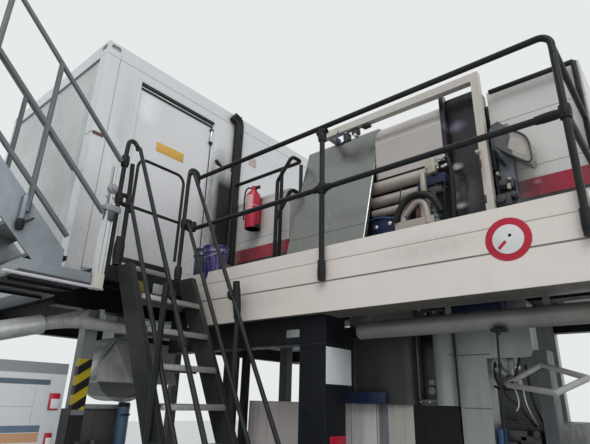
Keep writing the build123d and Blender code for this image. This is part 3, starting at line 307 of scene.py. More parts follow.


# a row: colour, tint, colour of dirt and painted shade, amounts of patches and streaks, roughness, worn edges and
# their colour, other differences
looks = {
    "cabinWhite": paint((0.67, 0.675, 0.69), (0.62, 0.63, 0.64), (0.36, 0.36, 0.34),
        0.12, 0.1, 0.3, 0.5, (0.3, 0.29, 0.27), coat=0.3),
    "cabinSide": paint((0.6, 0.62, 0.62), (0.52, 0.54, 0.54), (0.27, 0.28, 0.27),
        0.35, 0.45, 0.4, 0.5, (0.3, 0.29, 0.27), corners=0.6),
    "baseRail": paint((0.33, 0.37, 0.39), None, (0.17, 0.18, 0.18), 0.5, 0.4, 0.4, 0.7),
    "fasciaCream": paint((0.74, 0.685, 0.63), (0.7, 0.645, 0.6), (0.44, 0.39, 0.34),
        0.22, 0.16, 0.36, 0.6, (0.3, 0.26, 0.22), corners=0.45),
    "blackSatin": paint((0.01, 0.012, 0.013), (0.018, 0.021, 0.021), (0.045, 0.046, 0.042),
        0.5, 0.3, 0.34, 0.6, (0.12, 0.12, 0.11), corners=0.3, waves=0.001, specular=0.15),
    "blackBeam": paint((0.007, 0.008, 0.01), (0.013, 0.014, 0.017), (0.03, 0.03, 0.028),
        0.6, 0.3, 0.45, 0.5, (0.06, 0.06, 0.06), corners=0.3, specular=0.12),
    "stairSteel": paint((0.25, 0.29, 0.32), (0.2, 0.235, 0.26), (0.08, 0.085, 0.085),
        0.5, 0.35, 0.35, 0.8, (0.55, 0.56, 0.56), metal=0.1),
    "treadSteel": paint((0.34, 0.34, 0.33), (0.26, 0.26, 0.25), (0.1, 0.09, 0.08),
        0.6, 0.1, 0.42, 0.9, (0.72, 0.71, 0.68), metal=0.6),
    "deckPlate": paint((0.16, 0.17, 0.18), None, (0.07, 0.07, 0.07), 0.6, 0.1, 0.5, metal=0.4),
    "housingWhite": paint((0.66, 0.65, 0.62), (0.6, 0.59, 0.57), (0.38, 0.36, 0.33),
        0.2, 0.08, 0.35, 0.4, (0.3, 0.28, 0.25)),
    "gantryCream": paint((0.6, 0.575, 0.52), (0.54, 0.51, 0.46), (0.27, 0.21, 0.16),
        0.35, 0.35, 0.45, 0.8, (0.22, 0.12, 0.08), specks=0.8),
    "pipeCream": paint((0.5, 0.45, 0.4), (0.42, 0.36, 0.32), (0.17, 0.14, 0.12), 0.5, 0.3, 0.3, 0.4, coat=0.3),
    "guardSteel": paint((0.235, 0.245, 0.225), (0.19, 0.2, 0.185), (0.1, 0.105, 0.1),
        0.2, 0.2, 0.3, 0.7, (0.62, 0.62, 0.6), streakSize=0.09, metal=0.5, waves=0.0006, waveSize=0.9, grain=0.0,
        patchSize=0.5, corners=0.15),
    "hoodSilver": paint((0.5, 0.465, 0.45), (0.42, 0.39, 0.375), (0.22, 0.19, 0.18), 0.2, 0.12, 0.34, 0.5,
        metal=0.7, grain=0.0, waves=0.001),
    "darkPolish": paint((0.018, 0.019, 0.026), (0.03, 0.028, 0.03), (0.008, 0.008, 0.01), 0.4, 0.4, 0.22, 0.5,
        metal=0.3, waves=0.02, coat=0.1, specular=0.4, grain=0.0, waveSize=0.3),
    "greyMachine": paint((0.34, 0.36, 0.355), (0.27, 0.285, 0.28), (0.09, 0.09, 0.09),
        0.5, 0.4, 0.38, 0.8, (0.5, 0.51, 0.52), metal=0.15),
    "darkMachine": paint((0.045, 0.05, 0.055), (0.07, 0.075, 0.08), (0.02, 0.02, 0.02),
        0.5, 0.3, 0.4, 0.6, (0.25, 0.26, 0.27)),
    "sidePlateBlue": paint((0.25, 0.28, 0.31), (0.19, 0.215, 0.24), (0.08, 0.085, 0.09), 0.5, 0.4, 0.36, 0.6,
        metal=0.4),
    "ductGrey": paint((0.2, 0.21, 0.185), (0.26, 0.265, 0.24), (0.05, 0.05, 0.045), 0.5, 0.4, 0.38, metal=0.2,
        streakStretch=(0.06, 1, 1)),
    "sheetZinc": paint((0.46, 0.48, 0.47), (0.36, 0.38, 0.37), (0.17, 0.17, 0.165), 0.6, 0.4, 0.38, 0.5,
        patchSize=0.12, metal=0.3),
    "groundSteel": paint((0.55, 0.56, 0.58), None, (0.2, 0.2, 0.2), 0.2, 0.4, 0.2, metal=1.0),
    "cableBlack": paint((0.01, 0.011, 0.011), None, (0.05, 0.052, 0.046), 0.5, 0.3, 0.5, corners=0, specular=0.25),
    "wiringBlack": paint((0.01, 0.011, 0.011), None, (0.05, 0.052, 0.046), 0.5, 0.3, 0.5, corners=0, specular=0.2),
    "railGrey": paint((0.13, 0.155, 0.16), (0.1, 0.12, 0.125), (0.05, 0.055, 0.055),
        0.5, 0.3, 0.36, 0.6, (0.4, 0.42, 0.42), metal=0.1),
    "signalRed": paint((0.47, 0.006, 0.034), (0.38, 0.006, 0.026), (0.18, 0.01, 0.02),
        0.3, 0.15, 0.3, 0.3, (0.6, 0.3, 0.3), coat=0.1, specular=0.35),
    "consoleWhite": paint((0.62, 0.64, 0.65), (0.56, 0.58, 0.6), (0.33, 0.34, 0.34),
        0.25, 0.25, 0.35, 0.4, (0.3, 0.3, 0.3)),
    "castBlack": paint((0.009, 0.01, 0.011), (0.016, 0.017, 0.017), (0.04, 0.04, 0.036),
        0.4, 0.2, 0.42, 0.6, (0.16, 0.16, 0.15), specular=0.15),
    "nosingSteel": paint((0.4, 0.41, 0.39), (0.3, 0.31, 0.3), (0.14, 0.14, 0.13), 0.6, 0.1, 0.42, patchSize=0.08,
        metal=0.5, corners=0.2),
    "sealBlack": paint((0.01, 0.011, 0.013), (0.018, 0.019, 0.021), (0.05, 0.05, 0.05), 0.4, 0.2, 0.5, corners=0.1,
        specular=0.25),
    "barSilver": paint((0.62, 0.63, 0.64), (0.52, 0.53, 0.55), (0.25, 0.25, 0.24), 0.3, 0.3, 0.28, patchSize=0.05,
        metal=0.8, corners=0.2),
    "signYellow": paint((0.7, 0.4, 0.05), (0.62, 0.35, 0.05), (0.4, 0.25, 0.08), 0.35, 0.15, 0.42, patchSize=0.08,
        corners=0.1),
    "palePink": paint((0.56, 0.43, 0.42), (0.5, 0.38, 0.37), (0.28, 0.22, 0.21), 0.4, 0.2, 0.4, patchSize=0.06,
        corners=0.2),
    "redBrown": paint((0.17, 0.045, 0.04), (0.11, 0.04, 0.035), (0.05, 0.03, 0.025), 0.6, 0.2, 0.5, patchSize=0.04),
    "rustDark": paint((0.055, 0.03, 0.02), (0.09, 0.045, 0.025), (0.02, 0.015, 0.012), 0.6, 0.3, 0.7,
        patchSize=0.03),
    "darkCast": paint((0.032, 0.034, 0.04), (0.055, 0.055, 0.06), (0.012, 0.012, 0.012),
        0.6, 0.3, 0.42, 0.7, (0.26, 0.26, 0.26), patchSize=0.05, specks=0.4, speckColour=(0.2, 0.17, 0.13)),
    "signWhite": paint((0.7, 0.7, 0.69), (0.64, 0.64, 0.63), (0.4, 0.39, 0.37), 0.25, 0.2, 0.38, patchSize=0.08,
        corners=0.2),
    "paperWhite": paint((0.66, 0.7, 0.71), (0.6, 0.65, 0.66), (0.45, 0.48, 0.49), 0.3, 0.1, 0.7, patchSize=0.06,
        corners=0.1, waves=0.006, waveSize=0.12),
    "paleGrey": paint((0.3, 0.32, 0.315), (0.24, 0.255, 0.25), (0.11, 0.11, 0.105), 0.5, 0.3, 0.45, 0.5,
        patchSize=0.09),
    "lilacGrey": paint((0.34, 0.34, 0.37), (0.27, 0.27, 0.29), (0.16, 0.16, 0.17), 0.4, 0.2, 0.4, 0.4,
        patchSize=0.1),
    "tealDark": paint((0.06, 0.085, 0.085), None, (0.03, 0.035, 0.035), 0.4, 0.3, 0.4, 0.5),
    "connectorCream": paint((0.52, 0.5, 0.4), (0.44, 0.42, 0.33), (0.2, 0.18, 0.12),
        0.5, 0.3, 0.42, 0.5, (0.25, 0.22, 0.15), patchSize=0.04),
    "darkNavy": paint((0.011, 0.022, 0.066), (0.018, 0.032, 0.095), (0.03, 0.03, 0.04),
        0.5, 0.2, 0.34, 0.5, (0.12, 0.13, 0.2), patchSize=0.08, specular=0.3),
    "hoseBlue": paint((0.03, 0.09, 0.26), (0.025, 0.07, 0.2), (0.04, 0.05, 0.08), 0.4, 0.2, 0.35, corners=0.2),
    "bucketBlue": paint((0.018, 0.035, 0.075), (0.05, 0.1, 0.14), (0.012, 0.013, 0.02), 0.5, 0.8, 0.3,
        tintSize=0.08, patchSize=0.08, streakSize=0.022, coat=0.3),
    "bucketPurple": paint((0.022, 0.014, 0.1), (0.032, 0.022, 0.14), (0.3, 0.28, 0.48), 0.0, 0.7, 0.26,
        streakSize=0.02, coat=0.4, corners=0.0),
    "motorGreen": paint((0.13, 0.16, 0.15), (0.18, 0.21, 0.2), (0.04, 0.045, 0.04), 0.5, 0.3, 0.4, 0.6,
        patchSize=0.05, metal=0.3),
    "oliveBoard": paint((0.17, 0.145, 0.015), (0.13, 0.11, 0.015), (0.045, 0.04, 0.02), 0.6, 0.4, 0.5,
        patchSize=0.05),
    "brightZinc": paint((0.66, 0.67, 0.66), (0.56, 0.57, 0.57), (0.25, 0.25, 0.24), 0.4, 0.2, 0.38, patchSize=0.1,
        metal=0.2),
    "coverGrey": paint((0.085, 0.085, 0.08), (0.065, 0.065, 0.06), (0.03, 0.03, 0.028),
        0.5, 0.5, 0.45, 0.5, (0.25, 0.25, 0.24)),
    "filterBlue": paint((0.04, 0.1, 0.18), (0.07, 0.14, 0.22), (0.03, 0.04, 0.05), 0.5, 0.5, 0.36, patchSize=0.06),
    "framePale": paint((0.46, 0.46, 0.46), (0.38, 0.38, 0.38), (0.12, 0.12, 0.12), 0.4, 0.2, 0.36, 0.5,
        patchSize=0.15),
    "columnBlue": paint((0.006, 0.007, 0.011), (0.009, 0.011, 0.016), (0.02, 0.022, 0.026),
        0.5, 0.4, 0.34, 0.5, (0.07, 0.08, 0.1), waves=0.001, specular=0.15),
    "cabinColumn": paint((0.02, 0.022, 0.024), (0.03, 0.032, 0.034), (0.07, 0.07, 0.065),
        0.2, 0.4, 0.42, 0.4, (0.2, 0.2, 0.2), specular=0.3),
    "panelMix": paint((0.008, 0.009, 0.01), (0.013, 0.015, 0.016), (0.035, 0.034, 0.032),
        0.35, 0.35, 0.3, 0.3, (0.22, 0.22, 0.22), waves=0.003, specular=0.12),
    "endSlate": paint((0.055, 0.062, 0.066), (0.075, 0.083, 0.088), (0.025, 0.026, 0.027),
        0.4, 0.4, 0.38, 0.7, (0.38, 0.4, 0.41)),
    "armCream": paint((0.42, 0.41, 0.37), (0.33, 0.33, 0.31), (0.16, 0.15, 0.13), 0.5, 0.3, 0.4, 0.6, tintSize=0.3,
        patchSize=0.08),
    "cabinetBeige": paint((0.66, 0.61, 0.53), (0.6, 0.555, 0.48), (0.34, 0.31, 0.27),
        0.3, 0.2, 0.42, 0.4, (0.2, 0.18, 0.16)),
    "paleTube": paint((0.6, 0.59, 0.64), (0.52, 0.51, 0.56), (0.28, 0.28, 0.3), 0.3, 0.2, 0.34, patchSize=0.1),
    "coverGreen": paint((0.048, 0.054, 0.049), (0.068, 0.074, 0.066), (0.025, 0.026, 0.024),
        0.5, 0.4, 0.34, 0.7, (0.3, 0.31, 0.29), streakSize=0.12, waves=0.002, specular=0.3),
}

# marks at their real places: seams, stripes, dirt, painted light and shade, and plain coloured fields
marks = {
    "cabinWhite": [
        patch((0.1, 0.1, 0.1), 0.75, z=(4.946, 4.953)),
        patch((0.13, 0.14, 0.14), 0.8, x=(-1.94, -1.9), y=(-1.019, -1.012), z=(2.5, 4.951)),
        # a large dark soft field right of the door, darkest beside the wiring pipes
        dirtLightAndShadeCloud((-1.93, 0.53, 3.65), (0.3, 0.36, 1.0), (0.035, 0.042, 0.038), 1.0, 0.08),
        dirtLightAndShadeCloud((-1.93, 0.45, 4.15), (0.2, 0.16, 0.42), (0.05, 0.055, 0.05), 0.8, 0.03),
        # painted highlights on the door: a bright reflection at its upper left and a fainter light patch lower down
        dirtLightAndShadeCloud((-1.94, -0.6, 4.58), (0.2, 0.17, 0.24), (0.93, 0.95, 0.98), 0.8, 0.3),
        dirtLightAndShadeCloud((-1.94, -0.45, 3.35), (0.2, 0.22, 0.22), (0.8, 0.8, 0.84), 0.6, 0.3),
        dirtLightAndShadeCloud((-1.93, -0.86, 4.2), (0.1, 0.12, 0.7), (0.4, 0.4, 0.41), 0.5, 0.02),
        dirtLightAndShadeCloud((-1.93, 0.32, 3.6), (0.1, 0.05, 0.9), (0.25, 0.25, 0.24), 0.5, 0.04),
        patch((0.6, 0.56, 0.46), 0.7, y=(-1.157, -1.07), z=(2.392, 2.512)),
    ],
    "cabinSide": [
        dirtLightAndShadeCloud((-2.6, -1.11, 3.3), (0.5, 0.4, 0.9), (0.2, 0.22, 0.21), 0.5, 0.2),
        # painted shade: a dark vertical band on the left wall beside the corner post
        dirtLightAndShadeCloud((-2.12, -1.11, 3.9), (0.12, 0.3, 1.0), (0.28, 0.3, 0.29), 0.6, 0.1),
    ],
    "fasciaCream": [
        patch((0.24, 0.21, 0.18), 0.7, z=(2.566, 2.572)),
        patch((0.07, 0.06, 0.05), 0.85, z=(2.413, 2.425)),
        # painted shade: the fascia's underside is darkened as if in shadow
        patch((0.085, 0.085, 0.075), y=(-0.214, 2.0), z=(2.1, 2.213)),
        dirtLightAndShadeCloud((1.0, -0.22, 2.52), (0.5, 0.2, 0.1), (0.45, 0.41, 0.37), 0.4, 0.04),
        dirtLightAndShadeCloud((-0.6, -0.22, 2.35), (0.6, 0.2, 0.1), (0.42, 0.38, 0.34), 0.35, 0.06),
    ],
    "housingWhite": [
        patch((0.34, 0.007, 0.03), z=(3.109, 3.256)),
        dirtLightAndShadeCloud((1.28, 0.76, 3.17), (0.38, 0.3, 0.16), (0.045, 0.012, 0.016), 0.85, 0.1),
        dirtLightAndShadeCloud((-1.75, 0.76, 3.17), (0.35, 0.3, 0.14), (0.08, 0.012, 0.016), 0.7, 0.1),
        dirtLightAndShadeCloud((1.47, 0.76, 3.22), (0.04, 0.2, 0.025), (0.5, 0.3, 0.32), 0.6, 0.012),
        patch((0.018, 0.012, 0.012), z=(3.08, 3.109)),
        patch((0.1, 0.09, 0.08), 0.7, z=(3.355, 3.362)),
        patch((0.1, 0.09, 0.08), 0.8, z=(3.822, 3.829)),
    ],
    "cabinColumn": [
        patch((0.27, 0.28, 0.285), x=(-2.06, -1.9), y=(-0.9, -0.74), z=(1.45, 2.4)),
        hazard(((-1.99, -1.9), (-0.9, -0.74), (1.49, 1.9)), 0.153, 0.7, (0.62, 0.47, 0.02), (0.015, 0.014, 0.016)),
    ],
    "panelMix": [
        patch((0.66, 0.6, 0.58), x=(-1.5, -0.062)),
        patch((0.68, 0.67, 0.66), x=(-0.058, 0.168)),
        patch((0.52, 0.51, 0.46), x=(0.172, 0.478)),
        patch((0.2, 0.22, 0.24), x=(0.19, 0.27)),
    ],
    "guardSteel": [
        patch((0.07, 0.072, 0.066), 0.6, z=(3.106, 3.12)),
        dirtLightAndShadeCloud((-0.1, 0.56, 3.24), (0.4, 0.5, 0.1), (0.14, 0.142, 0.13), 0.5, 0.2),
    ],
    "signalRed": [patch((0.62, 0.5, 0.5), 0.75, x=(-1.545, -1.455), y=(0.55, 0.6), z=(3.64, 3.83))],
    "gantryCream": [
        dirtLightAndShadeCloud((1.12, 0.58, 3.35), (0.05, 0.2, 0.2), (0.2, 0.09, 0.05), 0.6, 0.02),
        dirtLightAndShadeCloud((1.13, 0.58, 2.85), (0.05, 0.2, 0.15), (0.22, 0.1, 0.06), 0.5, 0.02),
    ],
    "consoleWhite": [
        patch((0.22, 0.235, 0.25), z=(1.74, 1.82)),
        patch((0.06, 0.1, 0.13), y=(-1.96, -1.32), z=(1.665, 1.7)),
        patch((0.025, 0.085, 0.16), 0.9, y=(-1.96, -1.335), z=(1.362, 1.405)),
        patch((0.5, 0.24, 0.08), 0.9, y=(-1.96, -1.335), z=(1.3, 1.358)),
        patch((0.25, 0.26, 0.27), 0.7, y=(-1.412, -1.408), z=(1.42, 1.66)),
        patch((0.25, 0.26, 0.27), 0.7, y=(-1.96, -1.41), z=(1.52, 1.524)),
    ],
    "stairSteel": [
        # painted shadow: a black line along the bottom of the landing's faces
        patch((0.008, 0.009, 0.011), y=(-1.72, -1.15), z=(2.38, 2.432)),
        # painted light: a lighter bluish cloud on the stair stringer
        dirtLightAndShadeCloud((-1.4, -2.2, 3.2), (0.2, 0.7, 0.5), (0.36, 0.42, 0.47), 0.6, 0.3),
    ],
    "darkPolish": [
        # painted highlights: a soft glow on the upper panel and two bright reflection spots below
        dirtLightAndShadeCloud((0.88, 0.78, 3.936), (0.12, 0.2, 0.07), (0.3, 0.3, 0.4), 0.8, 0.12),
        dirtLightAndShadeCloud((0.865, 0.78, 3.547), (0.065, 0.2, 0.04), (0.75, 0.74, 0.76), 0.95, 0.08),
        dirtLightAndShadeCloud((0.865, 0.78, 3.179), (0.075, 0.2, 0.035), (0.72, 0.7, 0.68), 0.95, 0.05),
        dirtLightAndShadeCloud((0.94, 0.78, 3.27), (0.13, 0.2, 0.18), (0.15, 0.14, 0.13), 0.8, 0.02),
        dirtLightAndShadeCloud((0.83, 0.78, 3.33), (0.045, 0.2, 0.2), (0.24, 0.23, 0.22), 0.7, 0.04),
        patch((0.006, 0.006, 0.008), 0.8, x=(0.79, 1.12), y=(0.7, 0.8), z=(3.498, 3.51)),
    ],
    # painted highlight: a bright line across the hood
    "hoodSilver": [patch((0.8, 0.78, 0.76), 0.35, y=(0.6, 0.9), z=(3.985, 3.997))],
    "wiringBlack": [
        # the dark wiring field fades to pale grey towards its top and its left side
        fade(2, 4.26, 4.02, (None, (0.3, 0.612)), (0.55, 0.56, 0.57)),
        fade(1, 0.335, 0.43, (None, (0.3, 0.612)), (0.5, 0.51, 0.52), 0.1),
    ],
    "sheetZinc": [
        # painted light: a folded facet of the fan housing drawn lighter
        facet((-0.52, 2.12), 0.45, 1.722, (0.68, 0.7, 0.68), 0.75),
        patch((0.11, 0.12, 0.115), 0.8, x=(-2.4, -1.95), y=(-0.66, -0.02), z=(1.6, 1.712)),
        patch((0.05, 0.05, 0.05), 0.8, x=(-2.4, -1.95), y=(-0.7, 0.1), z=(1.714, 1.72)),
    ],
    "armCream": [patch((0.06, 0.066, 0.072), x=(1.0, 1.372))],
    "greyMachine": [
        patch((0.03, 0.03, 0.03), 0.8, x=(0.7, 1.06), y=(0.4, 0.5), z=(1.932, 1.94)),
        patch((0.03, 0.03, 0.03), 0.7, x=(0.7, 1.06), y=(0.4, 0.5), z=(1.586, 1.594)),
        patch((0.4, 0.45, 0.48), 0.8, x=(1.035, 1.075), y=(0.4, 0.485), z=(0.9, 1.74)),
    ],
}
finishes = {name: makeFinish(name, look, marks.get(name, ())) for name, look in looks.items()}
print(len(finishes), "finishes made")


# the frame's own nodes get their finish and soft edges

dressing = {
    "cabinWhite": ["cabin_roof", "cabin_corner_posts", "door_wall", "door_frame", "cabin_door", "cable_post"],
    "cabinSide": ["cabin_walls"],
    "baseRail": ["cabin_floor"],
    "fasciaCream": ["fascia"],
    "blackSatin": ["railing_posts", "railing_rails", "end_railing", "back_railing", "ladder_head_posts",
        "safety_gate", "ladder_handrails", "ladder_posts", "ladder_stringers"],
    "blackBeam": ["cabin_support_beams", "walkway_beams", "back_columns", "landing_deck", "press_cross_beams",
        "housing_frame"],
    "cabinColumn": ["cabin_columns"],
    "columnBlue": ["front_column"],
    "panelMix": ["front_panels"],
    "framePale": ["web_guide_frame"],
    "endSlate": ["end_column"],
    "coverGreen": ["drive_cover"],
    "stairSteel": ["stair_stringers", "upper_landing", "stair_foot_landing"],
    "railGrey": ["stair_rails"],
    "treadSteel": ["ladder_treads", "stair_treads"],
    "deckPlate": ["walkway_deck"],
    "housingWhite": ["striped_housings"],
    "gantryCream": ["gantry", "arm_box"],
    "pipeCream": ["air_pipes"],
    "guardSteel": ["guard_panels"],
    "hoodSilver": ["curved_hood"],
    "darkPolish": ["dark_panels", "window_screen"],
    "greyMachine": ["side_frame_front", "side_frame_rear", "guide_cylinder"],
    "darkMachine": ["drive_housing", "press_core"],
    "sidePlateBlue": ["side_plate"],
    "ductGrey": ["under_deck_duct"],
    "sheetZinc": ["fan_housing"],
    "brightZinc": ["flexible_duct"],
    "groundSteel": ["impression_drum", "plate_cylinders"],
    "wiringBlack": ["cabin_wiring"],
    "signalRed": ["fire_extinguisher"],
    "consoleWhite": ["console"],
    "cabinetBeige": ["end_cabinet"],
}
softEdge = {"width": 0.003, "segments": 2, "angle": 40, "weld": 0.0001}
for finish, names in dressing.items():
    for name in names:
        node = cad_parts[name]
        node.material_slots[0].material = finishes[finish]
        weld = node.modifiers.new("weld", "WELD")
        weld.merge_threshold = softEdge["weld"]
        bevel = node.modifiers.new("softEdge", "BEVEL")
        bevel.width = softEdge["width"]
        bevel.segments = softEdge["segments"]
        bevel.limit_method = "ANGLE"
        bevel.angle_limit = math.radians(softEdge["angle"])
        normals = node.modifiers.new("normals", "WEIGHTED_NORMAL")
        normals.keep_sharp = False
print("nodes dressed")


# the slot of each finish; placePiece looks it up for new pieces but does not store it
slots = {
    "black_steel": ["castBlack", "blackSatin", "blackBeam"],
    "rubber_black": ["sealBlack", "cableBlack"],
    "grating": ["nosingSteel"],
    "stair_steel": ["stairSteel"],
    "grey_steel": ["greyMachine", "ductGrey", "paleGrey", "paleTube", "lilacGrey", "motorGreen"],
    "bare_steel": ["barSilver"],
    "silver_sheet": ["sheetZinc", "brightZinc"],
    "cabin_white": ["signWhite", "paperWhite"],
    "signal_red": ["signalRed"],
    "cream_paint": ["signYellow", "palePink", "connectorCream", "pipeCream", "armCream", "oliveBoard"],
    "dark_machine": ["redBrown", "darkCast", "rustDark", "darkNavy", "hoseBlue", "darkPolish", "coverGreen",
        "tealDark", "coverGrey", "filterBlue", "bucketBlue", "bucketPurple"],
}
slotOf = {finish: slot for slot, names in slots.items() for finish in names}


# modelling helpers

modelling = {"merge": 0.00001, "smooth": 50, "pipeSides": 3, "pipeSteps": 8, "steps": 24}


def standAt(place, along):
    # the place with its z axis along a direction
    return Matrix.Translation(place) @ Vector(along).to_track_quat("Z", "Y").to_matrix().to_4x4()


def spinRound(mesh, verts, edges, centre, along, steps):
    axis = Vector(along).normalized()
    bmesh.ops.spin(mesh, geom=verts + edges, cent=centre, axis=axis, angle=math.tau, steps=steps, use_merge=True)


def addBox(mesh, low, high, soft=0.0):
    low, high = Vector(low), Vector(high)
    place = Matrix.Translation((low + high) / 2) @ Matrix.Diagonal((*(high - low), 1))
    made = bmesh.ops.create_cube(mesh, size=1, matrix=place)
    if soft:
        edges = list({edge for vert in made["verts"] for edge in vert.link_edges})
        bmesh.ops.bevel(mesh, geom=edges, offset=soft, segments=2, affect="EDGES", profile=0.5, material=-1)


def addLathe(mesh, start, along, profile):
    # profile: pairs of distance along the axis and radius
    place = standAt(start, along)
    verts = [mesh.verts.new(place @ Vector((radius, 0, far))) for far, radius in profile]
    edges = [mesh.edges.new(pair) for pair in zip(verts, verts[1:])]
    spinRound(mesh, verts, edges, start, along, modelling["steps"])


def addSleeve(mesh, start, along, length, radius, bulge):
    # a cast fitting: collars at both ends and a thicker middle
    addLathe(mesh, start, along, [(0, 0.6 * radius), (0, radius), (0.12 * length, radius), (0.3 * length, bulge),
        (0.7 * length, bulge), (0.88 * length, radius), (length, radius), (length, 0.6 * radius)])


def addRing(mesh, centre, along, radius, thick, sides=24, around=10):
    place = standAt(centre, along) @ Matrix.Translation((radius, 0, 0)) @ Matrix.Rotation(math.pi / 2, 4, "X")
    circle = bmesh.ops.create_circle(mesh, segments=around, radius=thick, matrix=place)["verts"]
    edges = list({edge for vert in circle for edge in vert.link_edges})
    spinRound(mesh, circle, edges, centre, along, sides)


def addRod(mesh, start, end, radius):
    # its ends are rounded a little
    run = Vector(end) - Vector(start)
    length = run.length
    lip = min(0.25 * radius, 0.2 * length)
    addLathe(mesh, start, run, [(0, 0), (0, radius - lip), (0.3 * lip, radius - 0.3 * lip), (lip, radius),
        (length - lip, radius), (length - 0.3 * lip, radius - 0.3 * lip), (length, radius - lip), (length, 0)])


def addPeg(mesh, start, end, radius):
    # a small six-sided peg
    run = Vector(end) - Vector(start)
    place = standAt((Vector(start) + Vector(end)) / 2, run)
    bmesh.ops.create_cone(mesh, cap_ends=True, segments=6, radius1=radius, radius2=radius, depth=run.length,
        matrix=place)


def addPlate(mesh, outline, depth):
    face = mesh.faces.new([mesh.verts.new(point) for point in outline])
    grown = bmesh.ops.extrude_face_region(mesh, geom=[face])["geom"]
    bmesh.ops.translate(mesh, vec=depth, verts=[item for item in grown if isinstance(item, bmesh.types.BMVert)])


def placePiece(name, data, finish, slot, body):
    data.materials.append(finishes[finish])
    piece = bpy.data.objects.new(name, data)
    bpy.context.scene.collection.objects.link(piece)
    slot = slot or slotOf[finish]
    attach(piece, body)
    return piece


def finishPiece(name, mesh, finish, slot=None, body="root"):
    bmesh.ops.remove_doubles(mesh, verts=mesh.verts[:], dist=modelling["merge"])
    bmesh.ops.recalc_face_normals(mesh, faces=mesh.faces[:])
    data = bpy.data.meshes.new(name)
    mesh.to_mesh(data)
    mesh.free()
    data.polygons.foreach_set("use_smooth", [True] * len(data.polygons))
    data.set_sharp_from_angle(angle=math.radians(modelling["smooth"]))
    return placePiece(name, data, finish, slot, body)


def layPipes(name, routes, radius, finish, slot=None):
    curve = bpy.data.curves.new(name, "CURVE")
    curve.dimensions = "3D"
    curve.bevel_depth = radius
    curve.bevel_resolution = modelling["pipeSides"]
    curve.use_fill_caps = True
    curve.resolution_u = modelling["pipeSteps"]
    for route in routes:
        line = curve.splines.new("NURBS")
        line.points.add(len(route) - 1)
        for point, place in zip(line.points, route):
            point.co = (*place, 1)
        line.order_u = 3
        line.use_endpoint_u = True
    return placePiece(name, curve, finish, slot, "root")


def makePiece(name, finish, boxes=(), rods=(), rings=(), lathes=(), sleeves=(), plates=(), soft=0.002, slot=None,
              body="root"):
    mesh = bmesh.new()
    for low, high in boxes:
        addBox(mesh, low, high, soft)
    for add, rows in ((addRod, rods), (addRing, rings), (addLathe, lathes), (addSleeve, sleeves), (addPlate, plates)):
        for row in rows:
            add(mesh, *row)
    return finishPiece(name, mesh, finish, slot, body)


def buildGroup(group):
    # every row of a table becomes a piece, either of pipes or of boxes, rods and turned shapes
    for name, given in group.items():
        if "pipes" in given:
            layPipes(name, given["pipes"], given["radius"], given["finish"])
        else:
            makePiece(name, **given)


# fittings of the guard rails and the ladder

railFittings = {
    "rail": (-0.249, 3.147),
    "posts": (0.175, 1.866),
    "sleeve": (0.15, 0.026, 0.037),
    "postSleeve": (0.08, 0.032, 0.035),
    "footSleeve": (0.11, 0.0285, 0.031),
    "ladderX": -1.4,
    "eyes": ((-0.3, 3.17), (-0.998, 3.195)),
    "eyeSize": (0.042, 0.02),
    "eyeSleeve": (0.09, 0.032, 0.035),
    "foot": 2.425,
    "peg": (0.04, 0.03, 0.02, 0.008),
    "tee": [
        ((0.175, -0.249, 3.565), (0, 0, 1), 0.07, 0.032, 0.035),
        ((0.13, -0.249, 3.642), (1, 0, 0.05), 0.09, 0.025, 0.03)],
    "ladderHead": [
        ((-1.4, -1.05, 3.5), (0, 0, 1), 0.1, 0.032, 0.037), ((-1.4, -0.975, 2.62), (0, 0, 1), 0.24, 0.036, 0.044),
        ((-1.4, -0.36, 2.62), (0, 0, 1), 0.12, 0.032, 0.035)],
}


def buildRailFittings():
    y, z = railFittings["rail"]
    length, radius, bulge = railFittings["sleeve"]
    tall, postRadius, postBulge = railFittings["postSleeve"]
    mesh = bmesh.new()
    for x in railFittings["posts"]:
        # the end post's sleeve is plain and ends at the corner
        atEnd = x > 1
        start = x - length * 1.05 if atEnd else x - length / 2
        addSleeve(mesh, (start, y, z), (1, 0, 0), length, radius, radius + 0.003 if atEnd else bulge)
        addSleeve(mesh, (x, y, z - tall / 2), (0, 0, 1), tall, postRadius, postBulge)
        addSleeve(mesh, (x, y, railFittings["foot"]), (0, 0, 1), *railFittings["footSleeve"])
        out, back, below, thick = railFittings["peg"]
        addPeg(mesh, (x, y - out, z - below), (x, y - back, z - below), thick)
    for sleeve in railFittings["tee"]:
        addSleeve(mesh, *sleeve)
    x = railFittings["ladderX"]
    ring, thick = railFittings["eyeSize"]
    eyeTall = railFittings["eyeSleeve"][0]
    for eyeY, eyeZ in railFittings["eyes"]:
        addRing(mesh, (x, eyeY, eyeZ), (1, 0, 0), ring, thick)
        for side in (-1, 1):
            low = (x, eyeY + side * (ring + 0.01), eyeZ - eyeTall / 2)
            addSleeve(mesh, low, (0, 0, 1), *railFittings["eyeSleeve"])
    for sleeve in railFittings["ladderHead"]:
        addSleeve(mesh, *sleeve)
    finishPiece("rail_fittings", mesh, "castBlack")


# the posts at the ladder's head: two of them bend over into the handrails
headPosts = {
    "radius": 0.0205,
    "routes": [
        [(-1.4, -1.05, 2.6), (-1.4, -1.05, 3.3), (-1.4, -1.05, 3.7), (-1.4, -1.035, 3.765), (-1.395, -0.985, 3.77),
            (-1.375, -0.968, 3.72)],
        [(-1.4, -0.953, 2.6), (-1.4, -0.953, 3.2), (-1.4, -0.975, 3.55)],
        [(-1.4, -0.36, 2.6), (-1.4, -0.36, 3.3), (-1.4, -0.36, 3.69), (-1.4, -0.345, 3.755), (-1.395, -0.285, 3.76),
            (-1.39, -0.245, 3.72), (-1.39, -0.249, 3.62)]],
}


def buildHeadPosts():
    posts = layPipes("head_posts", headPosts["routes"], headPosts["radius"], "blackSatin")
    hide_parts("ladder_head_posts")


